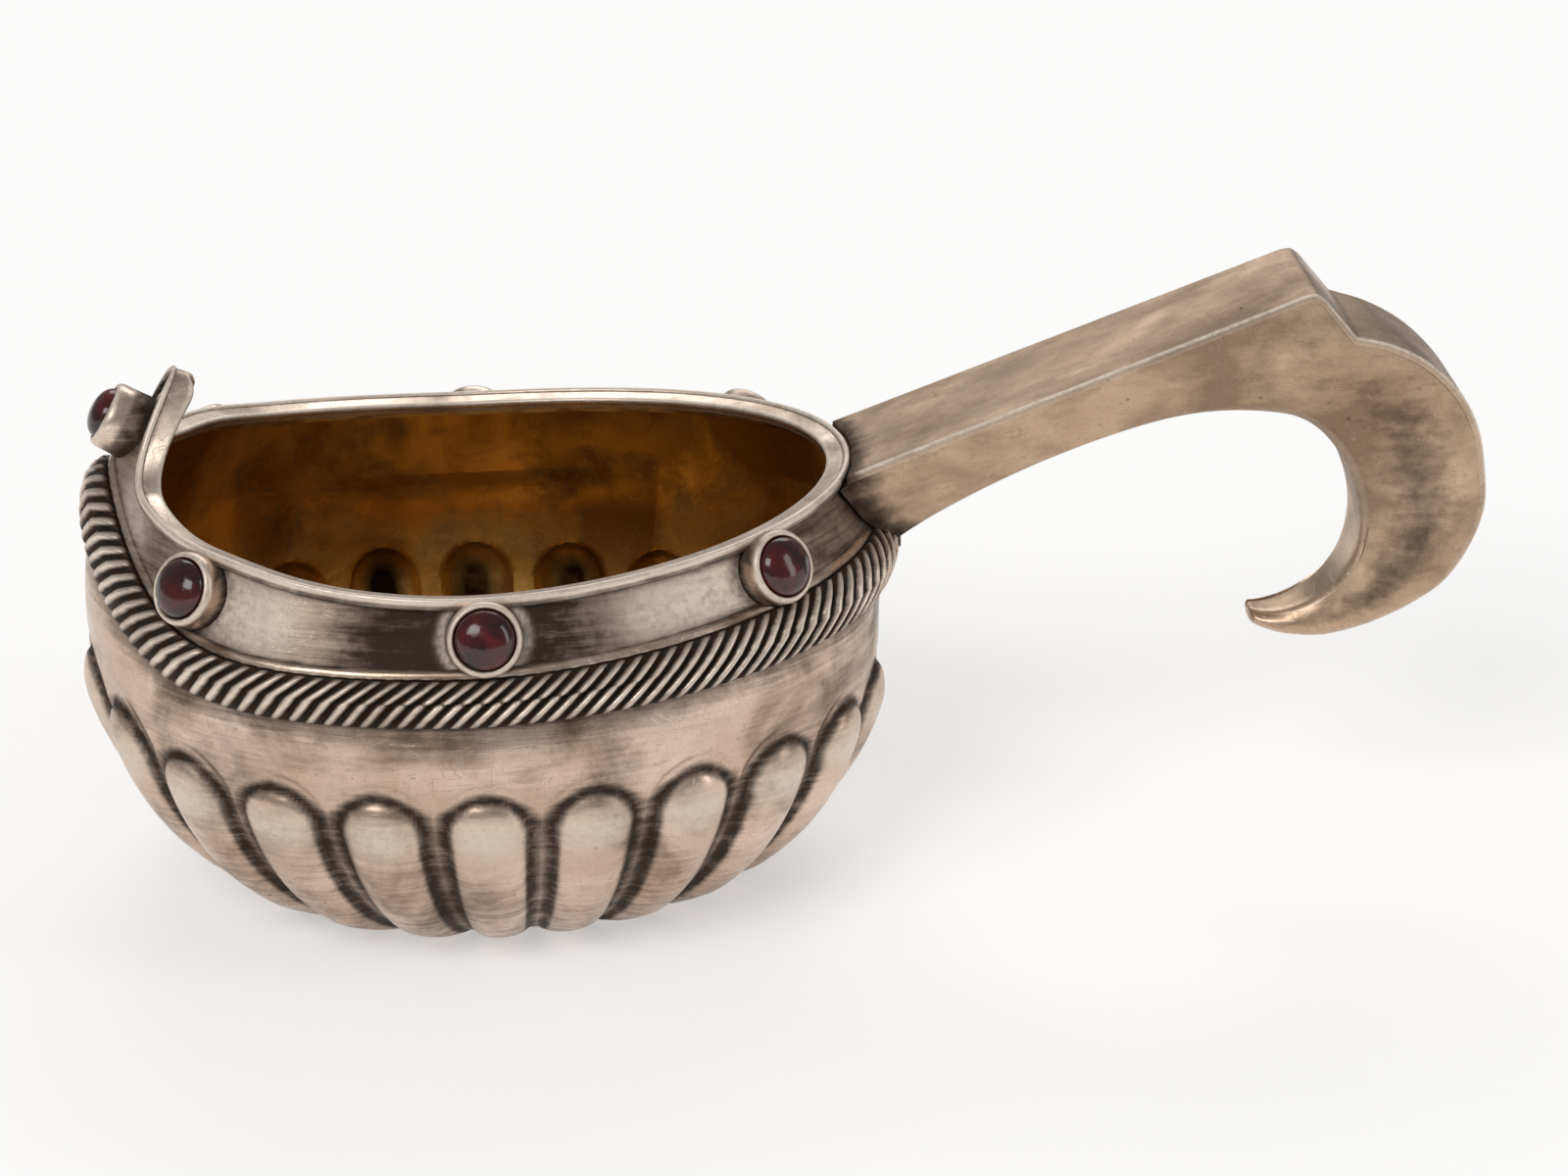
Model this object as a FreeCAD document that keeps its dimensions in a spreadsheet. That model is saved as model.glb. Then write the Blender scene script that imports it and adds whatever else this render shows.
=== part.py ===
import FreeCAD, Part
import math
import os
import Sketcher
from FreeCAD import Placement, Rotation, Vector

# A silver kovsh: a small boat-shaped dipping cup with a lobed bowl, a leaning neck
# band that rises to a tongue at the prow, seven garnets in collets and a hooked handle.
# Millimetres, +Z up, the handle towards +X and the prow towards -X.
# The origin is the middle of the flat base.

doc = FreeCAD.newDocument("Kovsh")
sheet = doc.addObject("Spreadsheet::Sheet", "Sizes")

# Driving sizes: lengths in millimetres, angles in degrees, counts and exponents as they are.
# Half sizes are measured from the widest station of the cup. A text that starts with =
# is worked out from the sizes above it.
drivingSizes = [
    # bowl
    ("widestStation", -3.0),
    ("bowlFore", 51.0),
    ("bowlAft", 55.8),
    ("bowlBeam", 44.6),
    ("shoulderHeight", 33.4),
    ("baseFore", 25.8),
    ("baseAft", 27.9),
    ("baseBeam", 22.3),
    ("bowlProwLift", 7.8),
    ("bowlSternLift", 1.2),
    ("bowlWall", 1.0),
    ("lobeCount", 22),
    ("lobeBulge", 1.8),
    ("grooveWidth", 3.7),
    # neck band
    ("neckForeInset", 5.2),
    ("neckAftFlare", 0.8),
    ("neckSideInset", 2.8),
    ("neckFore", "=bowlFore - neckForeInset"),
    ("neckAft", "=bowlAft + neckAftFlare"),
    ("neckBeam", "=bowlBeam - neckSideInset"),
    ("neckCheek", 11.0),
    ("neckNose", 2.8),
    ("shoulderRise", 8.2),
    ("neckFoot", "=shoulderHeight + shoulderRise"),
    ("neckProwLift", 11.5),
    ("neckNoseLift", 3.8),
    ("neckSternLift", 5.6),
    ("neckRise", 11.2),
    ("neckTop", "=neckFoot + neckRise"),
    ("topProwLift", 5.8),
    ("topSternLift", 4.5),
    ("tongueRise", 12.7),
    ("neckWall", 1.0),
    ("filletRise", 1.3),
    ("filletProud", 0.45),
    # rim strip
    ("rimWidth", 3.3),
    ("rimOverhang", 1.2),
    ("rimThickness", 1.3),
    ("beadHeight", 0.3),
    ("beadWidth", 0.9),
    # corded band
    ("reedCount", 126),
    ("cordWidth", 5.4),
    ("cordThickness", 1.8),
    ("reedDepth", 0.75),
    ("reedSlant", 4.6),
    # garnets and their collets
    ("stoneRadius", 3.9),
    ("prowStoneRadius", 3.55),
    ("stoneRise", 2.3),
    ("stoneShoulder", 1.6),
    ("stoneCrown", 0.9),
    ("girdleDrop", 0.5),
    ("colletMargin", 1.0),
    ("prowColletProud", 1.2),
    ("colletHeight", 3.3),
    ("colletBevel", 0.55),
    ("roundSides", 24),
    ("foreColletAngle", 138.0),
    ("midColletAngle", 88.0),
    ("aftColletAngle", 42.0),
    # handle
    ("rootSetIn", 3.87),
    ("rootAbove", 0.2),
    ("topLineRun", 65.7),
    ("topLineRise", 25.2),
    ("notchRun", 5.4),
    ("notchDrop", 6.5),
    ("gripDepth", 10.5),
    ("peakRound", 1.6),
    ("hookSetback", 6.2),
    ("hookDrop", 33.2),
    ("hookRadius", 31.6),
    ("hookBore", 14.4),
    ("plateHalfWidth", 10.9),
    ("peakHalfWidth", 10.2),
    ("keelHalfWidth", 5.5),
    ("hookSideBulge", 1.2),
    ("gripSideBulge", 0.5),
    ("handleWall", 0.9),
    ("coverThickness", 1.0),
    # fits
    ("solderGap", 0.05),
    ("cordClear", 0.25),
    ("seatDepth", 12.0),
    ("overrun", 3.0),
]

for row, (alias, value) in enumerate(drivingSizes, start=1):
    cell = "B" + str(row)
    sheet.set("A" + str(row), alias)
    sheet.set(cell, str(value))
    sheet.setAlias(cell, alias)
doc.recompute()


def size(alias):
    return float(sheet.get(alias))


# How each lift along the sheer line gathers towards an end of the cup
prowLiftPower = 6
sternLiftPower = 1.5
topLiftPower = 2
nosePower = 16
noseLiftPower = 30
tonguePower = 110

# Rings are sampled at these stations, crowded towards the prow for the tongue
ringStationCount = 66
prowCrowdingShare = 0.78


def ringAngles():
    angles = []
    for index in range(ringStationCount):
        turn = 2 * math.pi * index / ringStationCount
        angles.append(turn + prowCrowdingShare * math.sin(turn))
    return angles


def ringPoint(angle, fore, aft, beam, cheek, nose, station):
    # Angle 0 is the handle end, half a turn is the prow
    along = math.cos(angle)
    across = math.sin(angle)
    if along > 0:
        x = station + aft * along
    else:
        x = station + along * (fore + cheek * across ** 2) - nose * along ** nosePower
    return x, beam * across


def lift(angle, prowLift, prowPower, sternLift):
    along = math.cos(angle)
    if along > 0:
        return sternLift * along ** sternLiftPower
    return prowLift * (-along) ** prowPower


# Neck band: how far its outer face leans in above the foot, per unit of height
prowLeanShare = 0.42
noseLeanShare = 0.18
prowCurlShare = 0.5
sternLeanShare = 0.567
sideLeanShare = 0.365


def footHeight(angle):
    height = size("neckFoot") + lift(angle, size("neckProwLift"), prowLiftPower, size("neckSternLift"))
    if math.cos(angle) < 0:
        height += size("neckNoseLift") * math.cos(angle) ** noseLiftPower
    return height


def topHeight(angle):
    # Height of the neck band above its own foot
    along = math.cos(angle)
    height = size("neckTop") + lift(angle, size("topProwLift"), topLiftPower, size("topSternLift"))
    if along < 0:
        height += size("tongueRise") * (-along) ** tonguePower
    return height - footHeight(angle)


def neckPoint(angle, rise, proud=0.0):
    lean = prowLeanShare + noseLeanShare * math.cos(angle) ** nosePower
    fore = size("neckFore") - lean * rise - prowCurlShare * rise ** 2 / size("neckFore")
    aft = size("neckAft") - sternLeanShare * rise
    beam = size("neckBeam") - sideLeanShare * rise
    x, y = ringPoint(angle, fore, aft, beam, size("neckCheek"), size("neckNose"), size("widestStation"))
    point = Vector(x, y, footHeight(angle) + rise)
    if proud:
        point = point + levelNormal(angle, rise) * proud
    return point


stepAngle = math.radians(0.2)


def levelNormal(angle, rise):
    # Outward direction of the neck band, level with the ground
    along = neckPoint(angle + stepAngle, rise) - neckPoint(angle - stepAngle, rise)
    outward = Vector(along.y, -along.x, 0)
    return outward.normalize()


def neckNormal(angle, rise):
    # Outward direction square to the leaning face
    slope = size("neckWall") / 10
    along = neckPoint(angle + stepAngle, rise) - neckPoint(angle - stepAngle, rise)
    upward = neckPoint(angle, rise + slope) - neckPoint(angle, rise - slope)
    return along.cross(upward).normalize()


def flatFace(first, second, third):
    return Part.Face(Part.makePolygon([first, second, third, first]))


def facesBetween(ring, following):
    # Flat three-sided faces between two closed rings of points, split along the shorter way
    faces = []
    count = len(ring)
    for index in range(count):
        ahead = (index + 1) % count
        if (ring[index] - following[ahead]).Length < (ring[ahead] - following[index]).Length:
            faces.append(flatFace(ring[index], ring[ahead], following[ahead]))
            faces.append(flatFace(ring[index], following[ahead], following[index]))
        else:
            faces.append(flatFace(ring[index], ring[ahead], following[index]))
            faces.append(flatFace(ring[ahead], following[ahead], following[index]))
    return faces


def sewnSolid(faces):
    shell = Part.Shell(faces)
    shell.sewShape()
    solid = Part.Solid(shell)
    if solid.Volume < 0:
        solid.reverse()
    return solid


def ringSolid(rings):
    # A closed hoop bounded by faces from each ring to the next and from the last to the first
    faces = []
    for ring, following in zip(rings, rings[1:] + rings[:1]):
        faces += facesBetween(ring, following)
    return sewnSolid(faces)


def tubeSolid(sections):
    # A solid through a row of closed sections with a flat face at either end
    faces = [Part.Face(Part.makePolygon(sections[0] + sections[0][:1]))]
    for section, following in zip(sections, sections[1:]):
        faces += facesBetween(section, following)
    faces.append(Part.Face(Part.makePolygon(sections[-1] + sections[-1][:1])))
    return sewnSolid(faces)


def addFeature(label, shape):
    feature = doc.addObject("Part::Feature", label)
    feature.Label = label
    feature.Shape = shape
    feature.Placement = Placement()
    return feature


# Bowl

# Below the shoulder the levels run from 0 at the base to 1, above it on to 2 at the lip
bowlFullnessPower = 1.39
bowlRoundingPower = 2.05
bowlLiftPower = 0.7

# Each level, with the share of the lobes' bulge and of their width that it has
outerLevelShares = [
    (0.00, 0.30, 0.90),
    (0.06, 0.70, 0.97),
    (0.17, 0.95, 1.00),
    (0.36, 1.00, 1.00),
    (0.56, 1.00, 1.00),
    (0.71, 0.96, 0.93),
    (0.785, 0.74, 0.74),
    (0.835, 0.20, 0.34),
    (1.00, 0.00, 0.24),
    (1.45, 0.00, 0.24),
    (2.00, 0.00, 0.24),
]
innerLevelShares = [
    (0.00, 0.30, 0.90),
    (0.12, 0.85, 1.00),
    (0.40, 1.00, 1.00),
    (0.71, 0.96, 0.93),
    (0.86, 0.00, 0.24),
    (1.20, 0.00, 0.24),
    (2.00, 0.00, 0.24),
]

# Points across a lobe, from one groove to the next
lobePointShares = (0.0, 0.14, 0.37, 0.63, 0.86, 1.0)


def blend(start, end, share):
    return start + (end - start) * share


def bowlPoint(angle, level):
    if level <= 1:
        fullness = (1 - (1 - level) ** bowlRoundingPower) ** (1 / bowlFullnessPower)
        fore = blend(size("baseFore"), size("bowlFore"), fullness)
        aft = blend(size("baseAft"), size("bowlAft"), fullness)
        beam = blend(size("baseBeam"), size("bowlBeam"), fullness)
        station = size("widestStation") * fullness
        risen = level ** bowlLiftPower
        height = size("shoulderHeight") * level
        height += lift(angle, size("bowlProwLift"), prowLiftPower, size("bowlSternLift")) * risen
        x, y = ringPoint(angle, fore, aft, beam, 0, 0, station)
        return Vector(x, y, height)
    climb = level - 1
    inset = climb ** 2
    fore = blend(size("bowlFore"), size("neckFore"), inset)
    aft = blend(size("bowlAft"), size("neckAft"), inset)
    beam = blend(size("bowlBeam"), size("neckBeam"), inset)
    cheek = blend(0, size("neckCheek"), inset)
    nose = blend(0, size("neckNose"), inset)
    x, y = ringPoint(angle, fore, aft, beam, cheek, nose, size("widestStation"))
    lipHeight = footHeight(angle) - size("solderGap")
    shoulder = size("shoulderHeight")
    shoulder += lift(angle, size("bowlProwLift"), prowLiftPower, size("bowlSternLift"))
    return Vector(x, y, blend(shoulder, lipHeight, climb))


stepLevel = 0.004


def bowlNormal(angle, level):
    lower = max(level - stepLevel, 0)
    upper = min(level + stepLevel, 2)
    along = bowlPoint(angle + stepAngle, level) - bowlPoint(angle - stepAngle, level)
    upward = bowlPoint(angle, upper) - bowlPoint(angle, lower)
    return along.cross(upward).normalize()


def evenAngles(count):
    # Angles that part the shoulder's outline into equal lengths, from the handle end
    samples = 720
    angles = [2 * math.pi * index / samples for index in range(samples + 1)]
    lengths = [0.0]
    for first, second in zip(angles, angles[1:]):
        lengths.append(lengths[-1] + (bowlPoint(second, 1) - bowlPoint(first, 1)).Length)
    even = []
    position = 0
    for index in range(count):
        target = lengths[-1] * index / count
        while lengths[position + 1] < target:
            position += 1
        within = (target - lengths[position]) / (lengths[position + 1] - lengths[position])
        even.append(blend(angles[position], angles[position + 1], within))
    return even, lengths[-1]


grooveAngles, shoulderLength = evenAngles(int(size("lobeCount")))
lobePitch = shoulderLength / size("lobeCount")
lobeShare = 1 - size("grooveWidth") / lobePitch


def bowlRing(level, bulgeShare, widthShare, depth):
    # A closed ring of lobes with flat grooves between; depth is measured in from the outer face
    points = []
    halfLobe = lobeShare * widthShare / 2
    for index, groove in enumerate(grooveAngles):
        following = (grooveAngles + [2 * math.pi])[index + 1]
        start = blend(groove, following, 0.5 - halfLobe)
        end = blend(groove, following, 0.5 + halfLobe)
        for share in lobePointShares:
            angle = blend(start, end, share)
            bulge = size("lobeBulge") * bulgeShare * (1 - (2 * share - 1) ** 2)
            normal = bowlNormal(angle, level)
            if level == 0 or level == 2:
                normal = Vector(normal.x, normal.y, 0).normalize()
            point = bowlPoint(angle, level) + normal * (bulge - depth)
            if level == 0:
                point.z = depth
            points.append(point)
    return points


def makeBowl():
    outer = [bowlRing(level, bulge, width, 0) for level, bulge, width in outerLevelShares]
    inner = [bowlRing(level, bulge, width, size("bowlWall")) for level, bulge, width in innerLevelShares]
    return addFeature("bowl", tubeSolid(outer + inner[::-1]))


# Neck band

inwardTiltShare = 0.4


def stripNormal(angle, rise):
    # The rim strip lies nearer to level than square to the leaning neck
    normal = neckNormal(angle, rise)
    normal.z = normal.z * inwardTiltShare
    return normal.normalize()


def neckRails(extra):
    # Rails of the outer face from foot to top, pushed out by extra
    cordTop = size("cordWidth") / 2
    filletTop = cordTop + size("filletRise")
    proud = size("filletProud") + extra
    middleShare = 0.6
    rails = []
    rails.append([neckPoint(angle, 0, extra) for angle in ringAngles()])
    rails.append([neckPoint(angle, cordTop, extra) for angle in ringAngles()])
    rails.append([neckPoint(angle, (cordTop + filletTop) / 2, proud) for angle in ringAngles()])
    rails.append([neckPoint(angle, filletTop, extra) for angle in ringAngles()])
    middle = []
    top = []
    for angle in ringAngles():
        rise = blend(filletTop, topHeight(angle), middleShare)
        middle.append(neckPoint(angle, rise, extra))
        top.append(neckPoint(angle, topHeight(angle), extra))
    return rails + [middle, top]


def makeNeckBand():
    outer = neckRails(0)
    innerTop = []
    innerMiddle = []
    innerFoot = []
    for angle in ringAngles():
        top = topHeight(angle)
        innerTop.append(neckPoint(angle, top) - stripNormal(angle, top) * size("neckWall"))
        innerMiddle.append(neckPoint(angle, top / 2) - neckNormal(angle, top / 2) * size("neckWall"))
        innerFoot.append(neckPoint(angle, 0, -size("neckWall")))
    return addFeature("neck_band", ringSolid(outer + [innerTop, innerMiddle, innerFoot]))


# Rim strip

def rimFrame(angle):
    # The top edge of the neck, the way out across the strip and the way up from the edge
    here = neckPoint(angle, topHeight(angle))
    before = neckPoint(angle - stepAngle, topHeight(angle - stepAngle))
    after = neckPoint(angle + stepAngle, topHeight(angle + stepAngle))
    along = (after - before).normalize()
    across = stripNormal(angle, topHeight(angle))
    return here, across, across.cross(along).normalize()


def rimRail(out, up):
    points = []
    for angle in ringAngles():
        here, across, upward = rimFrame(angle)
        points.append(here + across * out + upward * (up + size("solderGap")))
    return points


def makeRimStrip():
    outside = size("rimOverhang")
    inside = outside - size("rimWidth")
    thickness = size("rimThickness")
    crest = outside - size("beadWidth") / 2
    return addFeature("rim_strip", ringSolid([
        rimRail(inside, 0),
        rimRail(inside, thickness),
        rimRail(outside - size("beadWidth"), thickness),
        rimRail(crest, thickness + size("beadHeight")),
        rimRail(outside, thickness / 2),
        rimRail(crest, 0),
    ]))


# Corded band

reedShares = (-0.5, -0.2, 0.2, 0.5)
reedHeightShares = (0.45, 1.0, 1.0, 0.45)


def cordPoint(angle, across, thickness):
    # Across runs from minus to plus half the band's width; below the seam the bowl carries it
    if across >= 0:
        base = neckPoint(angle, across)
        return base + neckNormal(angle, across) * thickness
    level = 2 + across / size("shoulderRise")
    return bowlPoint(angle, level) + bowlNormal(angle, level) * thickness


def makeCordedBand():
    # Each reed is a crest between two valleys and leans along the band as it climbs
    count = int(size("reedCount"))
    width = size("cordWidth")
    clear = size("cordClear")
    seam = [neckPoint(angle, 0) for angle in ringAngles()]
    ringLength = sum((point - before).Length for point, before in zip(seam, seam[-1:] + seam))
    sections = []
    for index in range(2 * count):
        turn = math.pi * index / count
        crest = size("cordThickness") - (0 if index % 2 else size("reedDepth"))
        section = []
        for share, heightShare in zip(reedShares, reedHeightShares):
            lead = 2 * math.pi * size("reedSlant") * share / ringLength
            section.append(cordPoint(turn + lead, share * width, clear + crest * heightShare))
        for share in (reedShares[-1], 0, reedShares[0]):
            lead = 2 * math.pi * size("reedSlant") * share / ringLength
            section.append(cordPoint(turn + lead, share * width, clear))
        sections.append(section)
    return addFeature("corded_band", ringSolid(sections))


# Seat tool: the space that the neck, its rim and the cord fill, for the pieces soldered to them

def makeSeatTool():
    gap = size("solderGap")
    low = reedShares[0] * size("cordWidth")
    high = reedShares[-1] * size("cordWidth")
    proud = size("cordClear") + size("cordThickness") + gap
    deep = size("seatDepth")
    outside = size("rimOverhang") + gap
    top = size("rimThickness") + size("beadHeight") + gap
    rings = [
        [cordPoint(angle, low, proud) for angle in ringAngles()],
        [cordPoint(angle, high, proud) for angle in ringAngles()],
    ]
    rings += neckRails(gap)[2:]
    rings += [rimRail(outside, -gap), rimRail(outside, top), rimRail(-deep, top)]
    rings.append([neckPoint(angle, low, -deep) for angle in ringAngles()])
    return ringSolid(rings)


# Collets and garnets

def originPlane(body, role):
    for feature in body.Origin.OriginFeatures:
        if feature.Role == role:
            return feature
    return None


def addRoundOutline(sketch, radius):
    # A many-sided outline held on a construction circle; radius is an expression in the sheet's sizes
    sides = int(size("roundSides"))
    reach = float(sheet.evalExpression(radius))
    circle = sketch.addGeometry(Part.Circle(Vector(), Vector(0, 0, 1), reach), True)
    sketch.addConstraint(Sketcher.Constraint("Coincident", circle, 3, -1, 1))
    number = sketch.addConstraint(Sketcher.Constraint("Radius", circle, reach))
    sketch.setExpression("Constraints[" + str(number) + "]", radius)
    corners = []
    for index in range(sides):
        turn = 2 * math.pi * index / sides
        corners.append(Vector(reach * math.cos(turn), reach * math.sin(turn), 0))
    edges = []
    for corner, following in zip(corners, corners[1:] + corners[:1]):
        edges.append(sketch.addGeometry(Part.LineSegment(corner, following), False))
    for edge, following in zip(edges, edges[1:] + edges[:1]):
        sketch.addConstraint(Sketcher.Constraint("Coincident", edge, 2, following, 1))
        sketch.addConstraint(Sketcher.Constraint("PointOnObject", edge, 1, circle))
    for edge in edges[1:]:
        sketch.addConstraint(Sketcher.Constraint("Equal", edges[0], edge))
    sketch.addConstraint(Sketcher.Constraint("PointOnObject", edges[0], 1, -1))


def roundPad(name, radii, foot, length):
    # A body padded up from its foot; a second radius makes it a ring
    body = doc.addObject("PartDesign::Body", name + "_body")
    sketch = body.newObject("Sketcher::SketchObject", name + "_outline")
    sketch.AttachmentSupport = [(originPlane(body, "XY_Plane"), "")]
    sketch.MapMode = "FlatFace"
    sketch.setExpression("AttachmentOffset.Base.z", foot)
    for radius in radii:
        addRoundOutline(sketch, radius)
    pad = body.newObject("PartDesign::Pad", name + "_pad")
    pad.Profile = sketch
    pad.setExpression("Length", length)
    sketch.Visibility = False
    doc.recompute()
    return body, pad


def bevelTop(name, body, base, bevel):
    # Bevels the outer edges round the top of the last feature
    top = base.Shape.BoundBox.ZMax
    level = [edge for edge in base.Shape.Edges if min(vertex.Z for vertex in edge.Vertexes) > top - size("solderGap")]
    reach = max(edge.CenterOfMass.Length for edge in level)
    names = []
    for index, edge in enumerate(base.Shape.Edges, start=1):
        raised = min(vertex.Z for vertex in edge.Vertexes) > top - size("solderGap")
        if raised and edge.CenterOfMass.Length > reach - size("solderGap"):
            names.append("Edge" + str(index))
    chamfer = body.newObject("PartDesign::Chamfer", name)
    chamfer.Base = (base, names)
    chamfer.setExpression("Size", bevel)
    doc.recompute()
    return chamfer


def cutPiece(name, base, tool):
    cut = doc.addObject("Part::Cut", name)
    cut.Base = base
    cut.Tool = tool
    return cut


def addCollet(name, place, radius, seatTool):
    # Runs below the face of the neck, to be cut to its curve
    radii = [radius + " + Sizes.colletMargin", radius + " + Sizes.solderGap"]
    body, ring = roundPad("collet_blank_" + name, radii, "-Sizes.overrun", "Sizes.colletHeight + Sizes.overrun")
    bevelTop("collet_bevel_" + name, body, ring, "Sizes.colletBevel")
    body.Placement = place
    collet = cutPiece("collet_seated_" + name, body, seatTool)
    collet.Label = "collet_" + name
    return collet


def addGarnet(name, place, radius):
    # Two rows of bevels round off the dome of the stone
    height = "Sizes.colletHeight - Sizes.girdleDrop + Sizes.stoneRise - Sizes.solderGap"
    body, stone = roundPad("garnet_blank_" + name, [radius], "Sizes.solderGap", height)
    shoulder = bevelTop("garnet_shoulder_" + name, body, stone, "Sizes.stoneShoulder")
    bevelTop("garnet_crown_" + name, body, shoulder, "Sizes.stoneCrown")
    body.Placement = place
    body.Label = "garnet_" + name
    return body


def neckSeat(angle, heightShare, proud, tiltShare):
    # A place on the neck band, with its Z out from the face and its Y up the face
    rise = topHeight(angle) * heightShare
    normal = neckNormal(angle, rise)
    normal.z = normal.z * tiltShare
    normal.normalize()
    sideways = Vector(0, 0, 1).cross(normal).normalize()
    upward = normal.cross(sideways)
    return Placement(neckPoint(angle, rise) + normal * proud, Rotation(sideways, upward, normal, "ZXY"))


# Handle

# Down the grip: share of its length, depth and slip back of the underside as shares of its depth
gripStationShares = [
    (0.00, 1.34, -0.45),
    (0.08, 1.24, -0.20),
    (0.17, 1.16, 0.00),
    (0.27, 1.07, 0.00),
    (0.37, 1.01, 0.00),
    (0.48, 1.00, 0.00),
    (0.58, 1.02, 0.00),
    (0.69, 1.08, 0.10),
    (0.79, 1.22, 0.27),
    (0.90, 1.37, 0.65),
]
peakStationShares = (1.50, 1.06)

# Round the hook: angle in degrees, outer and inner radius, outer and inner half width
hookStationShares = [
    (66.6, 0.924, 1.042, 1.010, 1.00),
    (56.0, 0.958, 1.010, 0.930, 1.00),
    (45.0, 0.990, 0.993, 0.843, 1.00),
    (33.0, 1.010, 0.972, 0.745, 0.99),
    (22.0, 1.012, 0.965, 0.647, 0.98),
    (11.0, 1.000, 0.975, 0.569, 0.96),
    (0.0, 0.994, 1.000, 0.530, 0.95),
    (-11.0, 0.957, 1.030, 0.505, 0.93),
    (-22.0, 0.905, 1.063, 0.490, 0.91),
    (-32.0, 0.832, 1.090, 0.470, 0.87),
    (-42.0, 0.766, 1.111, 0.450, 0.84),
    (-51.0, 0.718, 1.118, 0.422, 0.79),
    (-60.0, 0.677, 1.118, 0.392, 0.74),
    (-68.0, 0.638, 1.115, 0.355, 0.66),
    (-76.0, 0.601, 1.111, 0.314, 0.58),
    (-82.0, 0.575, 1.090, 0.255, 0.46),
    (-86.0, 0.557, 1.069, 0.196, 0.36),
]
hollowStations = 26


def handleStations():
    # Each station: outer point, inner point, outer and inner half width, side bulge.
    # The top line springs from just inside the rim, and peak, notch and hook follow it.
    root = neckPoint(0, topHeight(0)) + Vector(-size("rootSetIn"), 0, size("rootAbove"))
    peak = root + Vector(size("topLineRun"), 0, size("topLineRise"))
    notch = peak + Vector(size("notchRun"), 0, -size("notchDrop"))
    onward = (peak - root).normalize()
    downward = Vector(onward.z, 0, -onward.x)
    length = (peak - root).Length
    depth = size("gripDepth")
    grip = []
    for alongShare, depthShare, slipShare in gripStationShares:
        outer = root + onward * (alongShare * length)
        inner = outer + downward * (depthShare * depth) - onward * (slipShare * depth)
        width = blend(size("plateHalfWidth"), size("peakHalfWidth"), alongShare)
        grip.append((outer, inner, width, size("keelHalfWidth"), size("gripSideBulge")))
    hook = []
    centre = peak - Vector(size("hookSetback"), 0, size("hookDrop"))
    for degrees, outerShare, innerShare, widthShare, keelShare in hookStationShares:
        angle = math.radians(degrees)
        spoke = Vector(math.cos(angle), 0, math.sin(angle))
        outer = centre + spoke * (outerShare * size("hookRadius"))
        inner = centre + spoke * (innerShare * size("hookBore"))
        bulge = blend(size("gripSideBulge"), size("hookSideBulge"), min(1, len(hook) / 4))
        hook.append((outer, inner, widthShare * size("peakHalfWidth"), keelShare * size("keelHalfWidth"), bulge))
    hook[0] = (notch,) + hook[0][1:]
    # The peak is a soft corner between the flat top and the short face down to the notch
    away = (notch - peak).normalize()
    depthShare, slipShare = peakStationShares
    under = peak + downward * (depthShare * depth) - onward * (slipShare * depth)
    ahead = hook[0][1]
    soft = size("peakRound")
    corners = [peak - onward * soft, peak + (away - onward) * (soft / 4), peak + away * soft]
    bend = []
    for index, corner in enumerate(corners):
        inner = blend(under, ahead, index / (len(corners) + 1))
        bend.append((corner, inner, size("peakHalfWidth"), size("keelHalfWidth"), size("gripSideBulge")))
    return grip + bend + hook


# Points down the side of the handle, as shares of the way from its top to its keel
sidePointShares = (0.0, 0.25, 0.5, 0.75, 1.0)


def handleSection(station, topDepth, wall, pointShares):
    # A closed outline across the handle: flat top, bowed sides and a flat keel
    outer, inner, outerWidth, innerWidth, bulge = station
    span = (inner - outer).Length
    downward = (inner - outer).normalize()
    side = []
    for pointShare in pointShares:
        depth = blend(topDepth, span - wall, pointShare)
        share = depth / span
        width = blend(outerWidth, innerWidth, share) + 4 * bulge * share * (1 - share) - wall
        side.append((outer + downward * depth, Vector(0, width, 0)))
    return [point + width for point, width in side] + [point - width for point, width in side[::-1]]


def makeHandle(seatTool):
    stations = handleStations()
    gap = size("solderGap")
    wall = size("handleWall")
    underCover = size("coverThickness") + gap
    outside = tubeSolid([handleSection(station, underCover, 0, sidePointShares) for station in stations])
    hollow = tubeSolid([
        handleSection(station, underCover - size("overrun"), wall, sidePointShares[::2])
        for station in stations[:hollowStations]
    ])
    cover = []
    for outer, inner, outerWidth, innerWidth, bulge in stations:
        under = outer + (inner - outer).normalize() * size("coverThickness")
        width = Vector(0, outerWidth, 0)
        cover.append([outer - width, outer + width, under + width, under - width])
    pieces = []
    for label, shape in (("handle_trough", outside.cut(hollow)), ("handle_cover", tubeSolid(cover))):
        seated = cutPiece(label + "_seated", addFeature(label + "_blank", shape), seatTool)
        seated.Label = label
        pieces.append(seated)
    return pieces


# The pieces of the kovsh

pieces = [makeBowl(), makeNeckBand(), makeRimStrip(), makeCordedBand()]
seatTool = addFeature("seat_tool", makeSeatTool())
pieces += makeHandle(seatTool)

# The prow's collet stands a little off the tongue and looks lower than its face
colletHeightShare = 0.68
prowColletHeightShare = 0.54
prowTiltShare = 0.75
place = neckSeat(math.pi, prowColletHeightShare, size("prowColletProud"), prowTiltShare)
stones = [("prow", place, "Sizes.prowStoneRadius")]
for side, turn in (("near", -1), ("far", 1)):
    for station in ("fore", "mid", "aft"):
        angle = math.radians(turn * size(station + "ColletAngle"))
        place = neckSeat(angle, colletHeightShare, size("solderGap"), 1)
        stones.append((side + "_" + station, place, "Sizes.stoneRadius"))
for name, place, radius in stones:
    pieces.append(addCollet(name, place, radius, seatTool))
    pieces.append(addGarnet(name, place, radius))

doc.recompute()

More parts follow.
